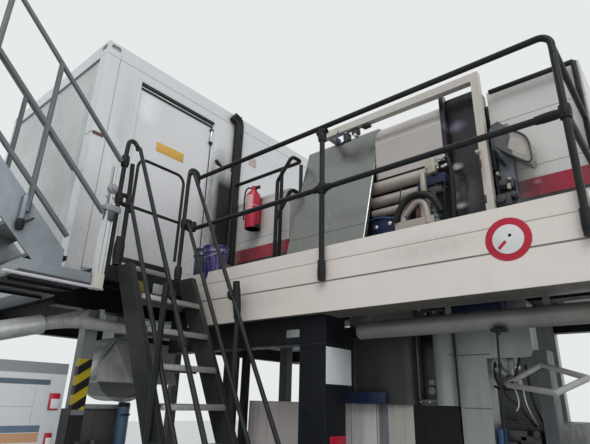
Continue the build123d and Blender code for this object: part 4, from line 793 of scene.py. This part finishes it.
# the ladder's handrails: level at the head, then down along the ladder
handrails = {"lines": (-0.97, -0.36), "levels": (3.147, 3.69), "startX": -1.371, "bendX": -1.325, "endX": 0.038,
    "slope": 1.8967, "radius": 0.0175}


def buildHandrails():
    start, bend, end, slope = handrails["startX"], handrails["bendX"], handrails["endX"], handrails["slope"]
    routes = []
    for y in handrails["lines"]:
        for level in handrails["levels"]:
            falls = [(x, y, level - (x - bend) * slope) for x in (bend + 0.02, bend + 0.12, bend + 0.5, end)]
            routes.append([(start, y, level), (bend - 0.02, y, level), (bend, y, level)] + falls)
    pipes = layPipes("handrail_pipes", routes, handrails["radius"], "blackSatin")
    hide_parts("ladder_handrails")


# couplings on the ladder's handrails and the sleeve that carries the far one
ladderClamps = {
    "run": (1.43, 0, -2.62),
    "ladder_clamps": [((-0.589, -0.97, 2.278), -0.03, 0.06, 0.026, 0.031),
        ((-0.4, -0.97, 1.93), -0.03, 0.05, 0.026, 0.03)],
    "ladder_clamp_top": [((-0.64, -0.36, 2.372), -0.05, 0.06, 0.027, 0.032)],
    "carrier": ((-0.605, -0.318, 2.2), (0, -0.02, 0.16), 0.3, 0.028, 0.033),
}


def buildLadderClamps():
    run = Vector(ladderClamps["run"]).normalized()
    for name in ("ladder_clamps", "ladder_clamp_top"):
        sleeves = [(Vector(place) + run * along, run, *size) for place, along, *size in ladderClamps[name]]
        if name == "ladder_clamps":
            sleeves.append(ladderClamps["carrier"])
        makePiece(name, "castBlack", sleeves=sleeves)


buildRailFittings()
buildHeadPosts()
buildHandrails()
buildLadderClamps()
print("rail fittings made")


# ladder and stair treads: serrated nosings and grating bars

treadTeeth = {
    "tops": (2.34, 2.08, 1.82, 1.56, 1.3, 1.04, 0.78, 0.52, 0.26),
    "firstX": -1.241,
    "stepX": 0.137,
    "deep": 0.24,
    "y": (-0.935, -0.395),
    "pitch": 0.027,
    "tooth": (0.011, 0.016, 0.01),
}


def buildTreadTeeth():
    mesh = bmesh.new()
    wide, deep, tall = treadTeeth["tooth"]
    low, high = treadTeeth["y"]
    count = int((high - low) / treadTeeth["pitch"])
    for number, top in enumerate(treadTeeth["tops"]):
        left = treadTeeth["firstX"] + number * treadTeeth["stepX"]
        front = left + treadTeeth["deep"]
        addBox(mesh, (front - 0.004, low, top - 0.034), (front + 0.002, high, top + 0.001), 0.001)
        for step in range(count):
            y = low + (step + 0.5) * treadTeeth["pitch"]
            addBox(mesh, (front - deep, y - wide / 2, top - 0.002), (front + 0.001, y + wide / 2, top + tall * 0.8))
        for bar in range(1, 7):
            x = left + bar * (treadTeeth["deep"] - 0.03) / 7
            addBox(mesh, (x, low, top - 0.001), (x + 0.005, high, top + 0.006))
    finishPiece("ladder_nosings", mesh, "nosingSteel")


buildTreadTeeth()
print("treads made")


# trim on the cabin's door side

cabinTrim = {
    "face": -1.93,
    "door": (-0.732, 0.296),
    "sealTop": (4.79, 4.829),
    "gapTop": (4.766, 4.777),
    "lipTop": (4.745, 4.764),
    "hinge": (0.252, 0.288, 4.53, 4.7),
    "plate": (-0.445, -0.08, 4.112, 4.225),
    "square": (0.925, 1.06, 4.505, 4.633),
    "kick": (-0.646, -0.119, 2.795, 2.862),
    "ledge": (-0.66, -0.119, 2.745, 2.795),
}


def buildCabinTrim():
    face = cabinTrim["face"]
    near, far = cabinTrim["door"]
    seal, gap, lip = cabinTrim["sealTop"], cabinTrim["gapTop"], cabinTrim["lipTop"]
    makePiece("door_seal_top", "sealBlack", boxes=[((face - 0.014, near, seal[0]), (face + 0.01, far, seal[1])),
        ((face - 0.014, near + 0.01, lip[0]), (face - 0.002, far - 0.012, lip[1])),
        ((face - 0.014, far - 0.022, 2.87), (face - 0.003, far - 0.004, seal[0])),
        ((face - 0.014, near - 0.004, 2.87), (face - 0.009, near + 0.006, seal[0]))], soft=0.003)
    makePiece("door_seal_bead", "barSilver", boxes=[
        ((face - 0.014, near + 0.005, gap[0]), (face + 0.002, far - 0.005, gap[1]))])
    low, high, bottom, top = cabinTrim["hinge"]
    makePiece("door_hinge_bar", "barSilver", rods=[
        ((face + 0.004, (low + high) / 2, bottom), (face + 0.004, (low + high) / 2, top), 0.013)])
    makePiece("door_hinge_caps", "sealBlack", boxes=[
        ((face - 0.008, low - 0.004, top - 0.012), (face + 0.016, high + 0.004, top + 0.02)),
        ((face - 0.008, low - 0.006, bottom - 0.02), (face + 0.018, high + 0.004, bottom + 0.014))], soft=0.004)
    low, high, bottom, top = cabinTrim["plate"]
    makePiece("door_plate", "signYellow", body="door", boxes=[
        ((face - 0.0125, low, bottom), (face - 0.01, high, top))], soft=0.001)
    low, high, bottom, top = cabinTrim["square"]
    makePiece("wall_plate", "palePink", boxes=[((face, low, bottom), (face + 0.003, high, top))], soft=0.001)
    low, high, bottom, top = cabinTrim["kick"]
    makePiece("door_kick", "sealBlack", boxes=[((face - 0.002, low, bottom), (face + 0.006, high, top))])
    low, high, bottom, top = cabinTrim["ledge"]
    makePiece("door_ledge", "sheetZinc", boxes=[((face - 0.002, low, bottom), (face + 0.045, high, top))],
        soft=0.004)
    makePiece("wall_hook", "sealBlack", rods=[((face - 0.002, 0.388, 4.325), (face + 0.022, 0.388, 4.325), 0.024),
        ((face + 0.016, 0.392, 4.315), (face + 0.024, 0.475, 4.262), 0.017)])
    makePiece("corner_handle", "redBrown", slot="cream_paint", boxes=[
        ((face, -1.146, 3.985), (face + 0.006, -1.045, 4.02))])
    makePiece("corner_handle_foot", "darkCast", boxes=[((-2.06, -1.167, 4.005), (-1.93, -1.163, 4.012)),
        ((face, -1.158, 3.99), (face + 0.008, -1.142, 4.014))])
    layPipes("wiring_elbows", [[(-1.895, 0.715, 3.1), (-1.895, 0.715, 4.7), (-1.895, 0.72, 4.93),
        (-1.895, 0.705, 5.03), (-1.9, 0.65, 5.075), (-1.91, 0.6, 5.09)],
        [(-1.89, 0.655, 3.1), (-1.89, 0.655, 4.7), (-1.89, 0.66, 4.9), (-1.89, 0.64, 4.98), (-1.9, 0.59, 5.01),
        (-1.915, 0.55, 5.03)]], 0.037, "castBlack", slot="rubber_black")
    makePiece("roof_edge_clips", "castBlack", boxes=[((-1.95, 0.4, 5.085), (-1.932, 0.5, 5.111)),
        ((-1.95, 0.53, 5.08), (-1.932, 0.58, 5.111))], soft=0.005)


buildCabinTrim()
print("cabin trim made")


# fascia sign: a ring, a plain face and a pointer

fasciaSign = {
    "centre": (1.467, -0.2205, 2.487),
    "discs": {"sign_ring": ("signalRed", 0.127, 0.0), "sign_face": ("signWhite", 0.086, 0.0012)},
    "arrow": [(-0.052, -0.058), (-0.008, -0.018), (-0.02, -0.004), (-0.06, -0.04)],
    "dot": (0.012, 0.02, 0.01),
}


def buildSign():
    x, y, z = fasciaSign["centre"]
    for name, (finish, radius, raised) in fasciaSign["discs"].items():
        makePiece(name, finish, lathes=[((x, y - raised, z), (0, -1, 0),
            [(0, 0), (0, radius), (0.0012, radius), (0.0015, radius - 0.001), (0.0015, 0)])])
    outline = [(x + aside, y - 0.003, z + above) for aside, above in fasciaSign["arrow"]]
    makePiece("sign_arrow", "signalRed", plates=[(outline, (0, -0.0004, 0))])
    aside, above, radius = fasciaSign["dot"]
    makePiece("sign_dot", "sealBlack", lathes=[((x + aside, y - 0.0027, z + above), (0, -1, 0),
        [(0, 0), (0, radius), (0.0005, radius - 0.001), (0.0005, 0)])])


buildSign()
print("sign made")


# buckets on the landing

buckets = {
    "bucket_left": {"centre": (-1.356, -0.13, 2.605), "radius": (0.07, 0.092), "tall": 0.345, "finish": "bucketBlue"},
    "bucket_right": {"centre": (-1.165, -0.13, 2.605), "radius": (0.09, 0.122), "tall": 0.335,
        "finish": "bucketPurple"},
}


def buildBuckets():
    for name, size in buckets.items():
        foot, rim = size["radius"]
        tall = size["tall"]
        x, y, z = size["centre"]
        makePiece(name, size["finish"], lathes=[((x, y, z), (0, 0, 1), [(0, 0), (0, foot - 0.006), (0.006, foot),
            (tall * 0.78, rim - 0.014), (tall * 0.8, rim - 0.004), (tall * 0.84, rim - 0.004),
            (tall * 0.86, rim - 0.01), (tall - 0.012, rim - 0.006), (tall - 0.008, rim), (tall, rim),
            (tall, rim - 0.008), (tall - 0.02, rim - 0.012), (0.02, foot - 0.008), (0.02, 0)])])
    x, y, z = buckets["bucket_right"]["centre"]
    rim, tall = buckets["bucket_right"]["radius"][1], buckets["bucket_right"]["tall"]
    layPipes("bucket_handle", [[(x - rim, y, z + tall * 0.9), (x - rim * 0.9, y - 0.05, z + tall * 0.8),
        (x, y - rim * 1.05, z + tall * 0.62), (x + rim * 0.9, y - 0.05, z + tall * 0.8),
        (x + rim, y, z + tall * 0.9)]], 0.004, "barSilver")


buildBuckets()
print("buckets made")


# fire extinguisher details

extinguisher = {"centre": (-1.507, 0.66), "radius": 0.088, "foot": 3.434, "neck": 3.9}


def buildExtinguisherParts():
    x, y = extinguisher["centre"]
    radius, foot, neck = extinguisher["radius"], extinguisher["foot"], extinguisher["neck"]
    makePiece("extinguisher_trim", "sealBlack", lathes=[((x, y, foot), (0, 0, 1),
        [(0, 0), (0, radius - 0.004), (0.004, radius + 0.002), (0.042, radius + 0.002), (0.045, radius - 0.006)]),
        ((x, y, neck - 0.005), (0, 0, 1), [(0, 0.01), (0, 0.024), (0.03, 0.026), (0.036, 0.018), (0.055, 0.017),
        (0.06, 0)])], boxes=[((x - 0.012, y - 0.012, neck + 0.03), (x + 0.088, y + 0.012, neck + 0.042)),
        ((x - 0.03, y - 0.012, neck + 0.052), (x + 0.08, y + 0.012, neck + 0.064))])
    layPipes("extinguisher_hose", [[(x - 0.01, y - 0.02, neck + 0.035), (x - 0.045, y - 0.045, neck + 0.06),
        (x - 0.082, y - 0.07, neck + 0.02), (x - 0.084, y - 0.078, neck - 0.1), (x - 0.08, y - 0.08, neck - 0.25),
        (x - 0.074, y - 0.078, neck - 0.36)]], 0.01, "cableBlack")
    makePiece("extinguisher_strap", "barSilver", rings=[((x, y, 3.7), (0, 0, 1), radius + 0.001, 0.005)])


buildExtinguisherParts()
print("extinguisher trimmed")


# press top: post fittings, hoses, links and small machine parts

pressTop = {
    "post_knob": dict(finish="connectorCream", lathes=[((1.114, 0.58, 3.51), (0, -1, 0),
        [(0, 0.02), (0.008, 0.02), (0.014, 0.014), (0.022, 0.017), (0.03, 0.012), (0.03, 0)])]),
    "post_slots": dict(finish="rustDark", boxes=[((1.114, 0.577, 3.375), (1.13, 0.582, 3.445)),
        ((1.12, 0.577, 3.065), (1.136, 0.582, 3.135))]),
    "arc_hose": dict(finish="cableBlack", pipes=[[(0.34, 0.6, 3.09), (0.39, 0.59, 3.21), (0.5, 0.585, 3.295),
        (0.64, 0.59, 3.285), (0.72, 0.6, 3.21), (0.755, 0.62, 3.1)]], radius=0.029),
    "pipe_bend": dict(finish="pipeCream", pipes=[[(0.42, 0.63, 3.14), (0.48, 0.62, 3.19), (0.55, 0.615, 3.245),
        (0.635, 0.615, 3.2), (0.635, 0.62, 3.02)]], radius=0.03),
    "bend_core": dict(finish="redBrown", boxes=[((0.52, 0.63, 3.09), (0.605, 0.66, 3.2))]),
    "pipe_connector": dict(finish="connectorCream", boxes=[((0.668, 0.6, 3.468), (0.738, 0.66, 3.6)),
        ((0.69, 0.594, 3.46), (0.7, 0.61, 3.606))], rods=[((0.64, 0.63, 3.535), (0.76, 0.63, 3.535), 0.022)]),
    "pipe_link": dict(finish="pipeCream", rods=[((0.605, 0.64, 3.27), (0.605, 0.64, 3.5), 0.028),
        ((0.605, 0.64, 3.29), (0.605, 0.64, 3.31), 0.034)]),
    "connector_bolts": dict(finish="barSilver", rods=[((0.745, 0.62, 3.5), (0.765, 0.62, 3.5), 0.012),
        ((0.76, 0.62, 3.585), (0.8, 0.62, 3.585), 0.01), ((0.782, 0.61, 3.565), (0.835, 0.61, 3.59), 0.018),
        ((0.79, 0.61, 3.49), (0.845, 0.61, 3.5), 0.016)]),
    "valve_block": dict(finish="darkNavy", boxes=[((0.63, 0.64, 3.375), (0.8, 0.74, 3.462)),
        ((0.54, 0.66, 3.36), (0.58, 0.72, 3.42))]),
    "panel_hoses": dict(finish="cableBlack", pipes=[[(0.835, 0.61, 3.585), (0.865, 0.61, 3.55), (0.865, 0.62, 3.4),
        (0.85, 0.64, 3.2), (0.83, 0.66, 3.0)], [(0.845, 0.61, 3.495), (0.875, 0.62, 3.47), (0.87, 0.64, 3.3),
        (0.845, 0.66, 3.05)]], radius=0.015),
    "thin_cables": dict(finish="cableBlack", pipes=[[(0.805, 0.63, 3.4), (0.8, 0.6, 3.25), (0.79, 0.61, 3.1),
        (0.775, 0.63, 2.99)], [(0.7, 0.62, 3.4), (0.72, 0.6, 3.34), (0.79, 0.6, 3.31), (0.83, 0.62, 3.3)],
        [(0.4, 0.62, 3.42), (0.41, 0.59, 3.36), (0.39, 0.6, 3.28)]], radius=0.005),
    "blue_hoses": dict(finish="hoseBlue", pipes=[[(0.05, 0.64, 3.175), (0.15, 0.61, 3.18), (0.28, 0.61, 3.15),
        (0.4, 0.63, 3.12)], [(-0.225, 0.6, 4.26), (-0.265, 0.575, 4.2), (-0.262, 0.58, 4.12),
        (-0.235, 0.62, 4.08)]], radius=0.008),
    "blue_boxes": dict(finish="darkNavy", boxes=[((0.08, 0.63, 3.02), (0.335, 0.72, 3.165)),
        ((0.345, 0.62, 3.055), (0.455, 0.7, 3.135))], soft=0.012),
    "box_knobs": dict(finish="barSilver", lathes=[
        ((bx, 0.63, bz), (0, -1, 0), [(0, 0.022), (0.01, 0.022), (0.016, 0.016), (0.016, 0)])
        for bx, bz in ((0.13, 3.09), (0.27, 3.1), (0.4, 3.09))]),
    "ribbed_motor": dict(finish="motorGreen", lathes=[((0.692, 0.66, 3.01), (0, 0, 1),
        [(0, 0), (0, 0.044), (0.03, 0.044), (0.034, 0.036), (0.05, 0.036), (0.054, 0.044), (0.08, 0.044),
        (0.084, 0.036), (0.1, 0.036), (0.104, 0.044), (0.13, 0.044), (0.134, 0.036), (0.15, 0.036), (0.154, 0.044),
        (0.19, 0.04), (0.2, 0.026), (0.21, 0.026), (0.21, 0)])]),
    "edge_bar": dict(finish="darkPolish", boxes=[((0.782, 0.7, 3.62), (0.822, 0.775, 4.26))]),
    "beam_fittings": dict(finish="darkCast", boxes=[((-0.2, 0.6, 4.1), (-0.14, 0.66, 4.17)),
        ((-0.1, 0.6, 4.13), (-0.03, 0.66, 4.19)), ((0.02, 0.6, 4.17), (0.1, 0.66, 4.21)),
        ((-0.3, 0.6, 4.09), (-0.27, 0.66, 4.16))], rods=[((-0.24, 0.61, 4.07), (-0.12, 0.61, 4.1), 0.014)]),
    "beam_caps": dict(finish="barSilver", rods=[((-0.17, 0.595, 4.185), (-0.17, 0.655, 4.185), 0.016),
        ((-0.06, 0.595, 4.115), (-0.06, 0.655, 4.115), 0.018), ((0.0, 0.6, 4.2), (0.0, 0.65, 4.2), 0.012)]),
    "side_belts": dict(finish="sealBlack", boxes=[((1.192, 0.65, 3.355), (1.222, 0.7, 3.535)),
        ((1.205, 0.655, 2.98), (1.228, 0.7, 3.32)), ((1.245, 0.66, 3.6), (1.275, 0.7, 3.755))]),
    "belt_run": dict(finish="sealBlack", pipes=[[(1.225, 0.66, 3.48), (1.25, 0.655, 3.43), (1.28, 0.66, 3.375)]],
        radius=0.012),
    "side_motors": dict(finish="darkCast", boxes=[((1.235, 0.63, 3.17), (1.33, 0.7, 3.25)),
        ((1.195, 0.62, 3.03), (1.3, 0.7, 3.13))], rods=[((1.26, 0.6, 3.21), (1.26, 0.7, 3.21), 0.03),
        ((1.235, 0.59, 3.08), (1.235, 0.7, 3.08), 0.036), ((1.315, 0.62, 3.11), (1.315, 0.7, 3.11), 0.024)],
        soft=0.008),
    "side_clamps": dict(finish="connectorCream", boxes=[((1.285, 0.615, 3.155), (1.31, 0.64, 3.2)),
        ((1.225, 0.6, 3.285), (1.24, 0.65, 3.31))], rods=[((1.31, 0.61, 3.235), (1.31, 0.65, 3.235), 0.012)]),
}

# the arm's cast casing, its inner field and the dark line round it
armCasing = {
    "outline": [(1.24, 3.7), (1.3, 3.72), (1.379, 3.611), (1.456, 3.555), (1.494, 3.49), (1.497, 3.42),
        (1.503, 3.32), (1.48, 3.297), (1.447, 3.315), (1.265, 3.5)],
    "recess": [(1.373, 3.548), (1.45, 3.505), (1.472, 3.43), (1.465, 3.36), (1.432, 3.375), (1.345, 3.464)],
    "edge": [(1.379, 3.611), (1.456, 3.555), (1.494, 3.49), (1.499, 3.42), (1.503, 3.32), (1.48, 3.297),
        (1.447, 3.315), (1.3, 3.455), (1.265, 3.5)],
}


def buildArmCasing():
    arm = makePiece("arm_casing", "armCream", plates=[
        ([(x, 0.56, z) for x, z in armCasing["outline"]], (0, 0.14, 0))])
    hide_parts("arm_box")
    recess = [(x, 0.5592, z) for x, z in armCasing["recess"]]
    makePiece("arm_recess", "pipeCream", plates=[(recess, (0, -0.001, 0))])
    layPipes("arm_edge", [[(x, 0.556, z) for x, z in armCasing["edge"]]], 0.007, "darkCast")


buildGroup(pressTop)
buildArmCasing()
print("press top fitted")


# under the walkway: clip and stay, cable box, cables, window ledge

underDeck = {
    "duct_clip": dict(finish="castBlack", boxes=[((1.214, 0.066, 2.027), (1.298, 0.158, 2.045)),
        ((1.244, 0.06, 2.007), (1.268, 0.098, 2.057))], soft=0.005),
    "stay_rod": dict(finish="castBlack", pipes=[[(1.254, 0.07, 2.035), (1.225, 0.068, 1.41),
        (1.158, 0.066, 0.012)]], radius=0.007),
    "stay_foot": dict(finish="castBlack", lathes=[((1.158, 0.066, 0.0), (0, 0, 1),
        [(0, 0), (0, 0.05), (0.008, 0.05), (0.014, 0.02), (0.05, 0.018), (0.05, 0)])]),
    "cable_box": dict(finish="darkNavy", boxes=[((0.863, 0.285, 2.152), (1.233, 0.4, 2.322))], soft=0.006),
    "cable_box_rim": dict(finish="darkCast", boxes=[((0.855, 0.28, 2.148), (1.241, 0.292, 2.162)),
        ((1.225, 0.278, 2.15), (1.241, 0.292, 2.32))]),
    "valve_row": dict(finish="darkCast", boxes=[((0.62, 0.29, 2.185), (0.7, 0.38, 2.322)),
        ((0.72, 0.3, 2.19), (0.8, 0.38, 2.322))], rods=[((0.64, 0.3, 2.235), (0.84, 0.3, 2.235), 0.014),
        ((0.6, 0.32, 2.2), (0.6, 0.32, 2.33), 0.014)]),
    "valve_caps": dict(finish="barSilver", rods=[((0.655, 0.285, 2.245), (0.655, 0.3, 2.245), 0.011),
        ((0.7, 0.285, 2.215), (0.7, 0.3, 2.215), 0.009), ((0.76, 0.29, 2.225), (0.76, 0.31, 2.225), 0.01)]),
    "machine_cables": dict(finish="cableBlack", pipes=[[(1.085, 0.52, 1.915), (1.07, 0.48, 1.83),
        (1.095, 0.45, 1.74), (1.16, 0.44, 1.72), (1.215, 0.46, 1.78), (1.24, 0.5, 1.915)],
        [(1.12, 0.52, 1.915), (1.105, 0.47, 1.78), (1.14, 0.44, 1.67), (1.21, 0.45, 1.62), (1.238, 0.5, 1.55),
        (1.245, 0.64, 1.49)], [(1.06, 0.5, 1.73), (1.12, 0.46, 1.705), (1.19, 0.46, 1.715), (1.25, 0.5, 1.7)],
        [(1.27, 0.5, 1.86), (1.285, 0.47, 1.75), (1.29, 0.48, 1.62), (1.3, 0.64, 1.49)]], radius=0.008),
    "pale_cables": dict(finish="signWhite", pipes=[[(1.235, 0.47, 1.8), (1.25, 0.455, 1.7), (1.256, 0.46, 1.6),
        (1.262, 0.64, 1.49)], [(1.195, 0.46, 1.72), (1.218, 0.445, 1.67), (1.212, 0.45, 1.6), (1.19, 0.47, 1.585)]],
        radius=0.004),
    "arm_gear": dict(finish="greyMachine", boxes=[((1.065, 0.5, 1.8), (1.16, 0.62, 1.915)),
        ((1.13, 0.52, 1.74), (1.2, 0.62, 1.8))], rods=[((1.215, 0.5, 1.8), (1.215, 0.5, 1.915), 0.02),
        ((1.085, 0.49, 1.845), (1.155, 0.49, 1.8), 0.022)], soft=0.006),
    "arm_gear_caps": dict(finish="barSilver", rods=[((1.224, 0.478, 1.845), (1.224, 0.5, 1.845), 0.018),
        ((1.1, 0.478, 1.84), (1.1, 0.5, 1.84), 0.012)]),
    "pump_group": dict(finish="darkCast", boxes=[((1.06, 0.5, 1.2), (1.16, 0.632, 1.4)),
        ((1.17, 0.52, 1.24), (1.3, 0.632, 1.44)), ((1.09, 0.52, 1.4), (1.22, 0.632, 1.47))],
        rods=[((1.12, 0.46, 1.33), (1.12, 0.6, 1.33), 0.045), ((1.23, 0.47, 1.36), (1.23, 0.6, 1.36), 0.038),
        ((1.28, 0.49, 1.45), (1.28, 0.62, 1.45), 0.022), ((1.08, 0.49, 1.1), (1.28, 0.49, 1.1), 0.025),
        ((1.1, 0.54, 0.9), (1.1, 0.54, 1.2), 0.02)], soft=0.01),
    "blue_cap": dict(finish="hoseBlue", rods=[((1.075, 0.5, 1.36), (1.075, 0.5, 1.47), 0.03)]),
    "window_ledge": dict(finish="ductGrey", boxes=[((0.487, 0.52, 1.602), (0.8, 0.61, 1.64)),
        ((0.5, 0.515, 1.64), (0.512, 0.585, 2.24))]),
    "ledge_bolts": dict(finish="barSilver", rods=[
        ((bx, 0.514, 1.621), (bx, 0.522, 1.621), 0.008) for bx in (0.51, 0.58, 0.65, 0.72, 0.78)]),
    "window_parts": dict(finish="paleGrey", rods=[((0.585, 0.56, 1.7), (0.585, 0.585, 1.7), 0.03),
        ((0.66, 0.565, 1.72), (0.72, 0.565, 1.735), 0.012)], boxes=[((0.56, 0.565, 1.74), (0.61, 0.585, 1.78))],
        soft=0.006),
}
buildGroup(underDeck)
print("under-deck parts made")


# small plates on the front column, the landing and the stair

smallPlates = {
    "column_paper": dict(finish="paperWhite", boxes=[((0.121, -0.119, 1.722), (0.1222, 0.198, 1.976))], soft=0.0008),
    "column_tag": dict(finish="signalRed", boxes=[((0.1215, -0.072, 1.33), (0.124, 0.115, 1.385))], soft=0.0008),
    "bearer_plate": dict(finish="paleGrey", boxes=[((-0.251, -0.1235, 2.055), (-0.125, -0.1205, 2.112))],
        soft=0.0008),
    "landing_board": dict(finish="oliveBoard", boxes=[((-1.364, -0.9, 2.424), (-1.352, -0.68, 2.52))], soft=0.0008),
    "landing_box": dict(finish="paleGrey", boxes=[((-1.364, -0.63, 2.44), (-1.35, -0.44, 2.525))], soft=0.0008),
    "edge_tube": dict(finish="paleTube", pipes=[[(-1.392, -1.8, 2.396), (-1.392, -1.4, 2.397),
        (-1.392, -1.06, 2.398)]], radius=0.012),
    "red_brackets": dict(finish="signalRed", boxes=[((-1.402, -1.31, 1.502), (-1.394, -1.236, 1.612)),
        ((-1.402, -1.295, 1.25), (-1.394, -1.245, 1.355))]),
    "bracket_faces": dict(finish="signWhite", boxes=[((-1.395, -1.295, 1.512), (-1.3925, -1.236, 1.575)),
        ((-1.395, -1.282, 1.25), (-1.3925, -1.245, 1.325))], soft=0.0008),
    "column_joint": dict(finish="blackSatin", boxes=[((-0.123, -0.123, 1.992), (0.123, 0.123, 1.998))], soft=0.001),
    "column_backing": dict(finish="coverGreen", boxes=[((-0.33, 0.5, 1.6), (-0.037, 0.512, 2.2))], soft=0.002),
    "navy_shelf": dict(finish="darkNavy", boxes=[((-0.33, 0.374, 1.601), (0.3, 0.3995, 1.685))], soft=0.004),
    "landing_underside": dict(finish="blackBeam", boxes=[((-2.29, -1.69, 2.402), (-1.412, -1.18, 2.409))] + [
        ((x, -1.68, 2.384), (x + 0.02, -1.19, 2.403)) for x in (-2.2, -1.9, -1.65)]),
    "stair_post_foot": dict(finish="stairSteel", rods=[((-1.379, -1.765, 2.725), (-1.379, -1.765, 2.96), 0.021)]),
    "stair_post_clamp": dict(finish="castBlack", sleeves=[((-1.379, -1.765, 2.7), (0, 0, 1), 0.075, 0.026, 0.03)],
        rods=[((-1.36, -1.735, 2.76), (-1.36, -1.69, 2.8), 0.008)]),
}
buildGroup(smallPlates)
print("small plates made")


# cable post: cap, socket, knob and rods

cablePost = {
    "post_cap": dict(finish="lilacGrey", boxes=[((-1.45, -1.172, 3.045), (-1.352, -1.035, 3.1))], soft=0.006),
    "post_socket": dict(finish="tealDark", lathes=[((-1.4, -1.109, 2.955), (0, 0, 1),
        [(0, 0.02), (0, 0.036), (0.01, 0.046), (0.08, 0.05), (0.09, 0.044), (0.09, 0.02)])]),
    "post_knob_round": dict(finish="lilacGrey", lathes=[((-1.435, -1.117, 3.255), (1, 0, 0),
        [(0, 0), (0, 0.034), (0.02, 0.044), (0.05, 0.044), (0.06, 0.036), (0.062, 0.024), (0.075, 0.024),
        (0.078, 0.014), (0.078, 0)])]),
    "post_rods": dict(finish="greyMachine", rods=[((-1.405, -1.141, 3.09), (-1.405, -1.141, 3.46), 0.01),
        ((-1.4, -1.17, 3.172), (-1.4, -1.03, 3.178), 0.007)]),
}
buildGroup(cablePost)
print("cable post capped")


# under the cabin: duct rings, fan flange, ledge, cover and filter

underCabin = {
    "fan": (-2.106, -0.32, 1.86),
    "fanRadius": 0.305,
    "duct": [(-1.865, -1.272, 2.135), (-1.865, -1.05, 2.19), (-1.865, -0.25, 2.19), (-1.865, 0.34, 2.16)],
    "ductRadius": 0.05,
    "ringGap": 0.03,
}


def buildFanAndDuct():
    x, y, z = underCabin["fan"]
    radius = underCabin["fanRadius"]
    boltsAt = radius - 0.015
    bolts = []
    for step in range(12):
        turn = math.tau * step / 12
        boltY, boltZ = y + boltsAt * math.cos(turn), z + boltsAt * math.sin(turn)
        bolts.append(((x + 0.01, boltY, boltZ), (x + 0.028, boltY, boltZ), 0.008))
    makePiece("fan_flange", "sheetZinc", rods=bolts, lathes=[((x, y, z), (1, 0, 0),
        [(0, radius - 0.035), (0, radius), (0.012, radius + 0.004), (0.018, radius), (0.018, radius - 0.03),
        (0.008, radius - 0.035)])])
    rings = []
    route = [Vector(point) for point in underCabin["duct"]]
    for start, end in zip(route, route[1:]):
        run = end - start
        count = int(run.length / underCabin["ringGap"])
        for step in range(count):
            rings.append((start + run * (step + 0.5) / count, run, underCabin["ductRadius"], 0.0035, 20, 6))
    makePiece("duct_rings", "brightZinc", rings=rings)


cabinUnderside = {
    "duct_collar": dict(finish="signWhite", lathes=[((-1.865, -1.33, 2.118), (0, 0.93, 0.25),
        [(0, 0.05), (0, 0.066), (0.006, 0.07), (0.05, 0.07), (0.056, 0.066), (0.056, 0.05)])]),
    "fan_ledge": dict(finish="paleGrey", boxes=[((-1.985, -0.77, 1.5), (-1.93, -0.33, 1.536))] + [
        ((-1.931, -0.75 + step * 0.035, 1.51), (-1.927, -0.732 + step * 0.035, 1.526))
        for step in range(12)], soft=0.001),
    "fan_cover": dict(finish="coverGrey", boxes=[((-1.975, -1.0, 0.92), (-1.945, -0.33, 1.5))], soft=0.004),
    "blue_filter": dict(finish="filterBlue", lathes=[((-1.855, -0.44, 1.14), (0, 0, 1),
        [(0, 0), (0, 0.04), (0.02, 0.052), (0.36, 0.052), (0.38, 0.046), (0.382, 0.03), (0.39, 0.03), (0.39, 0)])]),
    "filter_cap": dict(finish="castBlack", lathes=[((-1.855, -0.44, 1.52), (0, 0, 1),
        [(0, 0), (0, 0.05), (0.03, 0.052), (0.036, 0.04), (0.036, 0)])],
        boxes=[((-1.93, -0.48, 1.45), (-1.8, -0.4, 1.462)), ((-1.95, -0.46, 1.2), (-1.85, -0.42, 1.212))]),
    "cover_valves": dict(finish="coverGrey", rods=[((-1.9, -0.86, 1.2), (-1.9, -0.5, 1.2), 0.018),
        ((-1.9, -0.8, 1.15), (-1.9, -0.8, 1.25), 0.024), ((-1.9, -0.66, 1.15), (-1.9, -0.66, 1.26), 0.024),
        ((-1.95, -0.56, 1.2), (-1.88, -0.56, 1.2), 0.026), ((-1.95, -0.76, 1.2), (-1.86, -0.76, 1.2), 0.016)]),
}
buildFanAndDuct()
buildGroup(cabinUnderside)
print("under-cabin parts made")


# guard sheets: end bead and folded lip

guardBead = {"top": (0.094, 0.826, 4.226), "foot": (0.094, 0.364, 2.606), "radius": 0.008}


def buildGuardBead():
    makePiece("guard_bead", "barSilver", rods=[(guardBead["top"], guardBead["foot"], guardBead["radius"])])
    x, y, z = guardBead["top"]
    footX, footY, footZ = guardBead["foot"]
    makePiece("guard_lip", "sealBlack", rods=[
        ((x + 0.011, y + 0.006, z), (footX + 0.011, footY + 0.006, footZ), 0.005)])


buildGuardBead()
print("guard sheets edged")


# floor

def layFloor():
    mesh = bmesh.new()
    bmesh.ops.create_grid(mesh, x_segments=8, y_segments=8, size=30)
    data = bpy.data.meshes.new("floor")
    mesh.to_mesh(data)
    mesh.free()
    floor = bpy.data.objects.new("floor", data)
    bpy.context.scene.collection.objects.link(floor)
    pale = paint((0.62, 0.63, 0.63), (0.58, 0.59, 0.59), (0.5, 0.5, 0.5), 0.2, 0.0, 0.6, corners=0, waves=0.0005)
    data.materials.append(makeFinish("floorPale", pale))


layFloor()
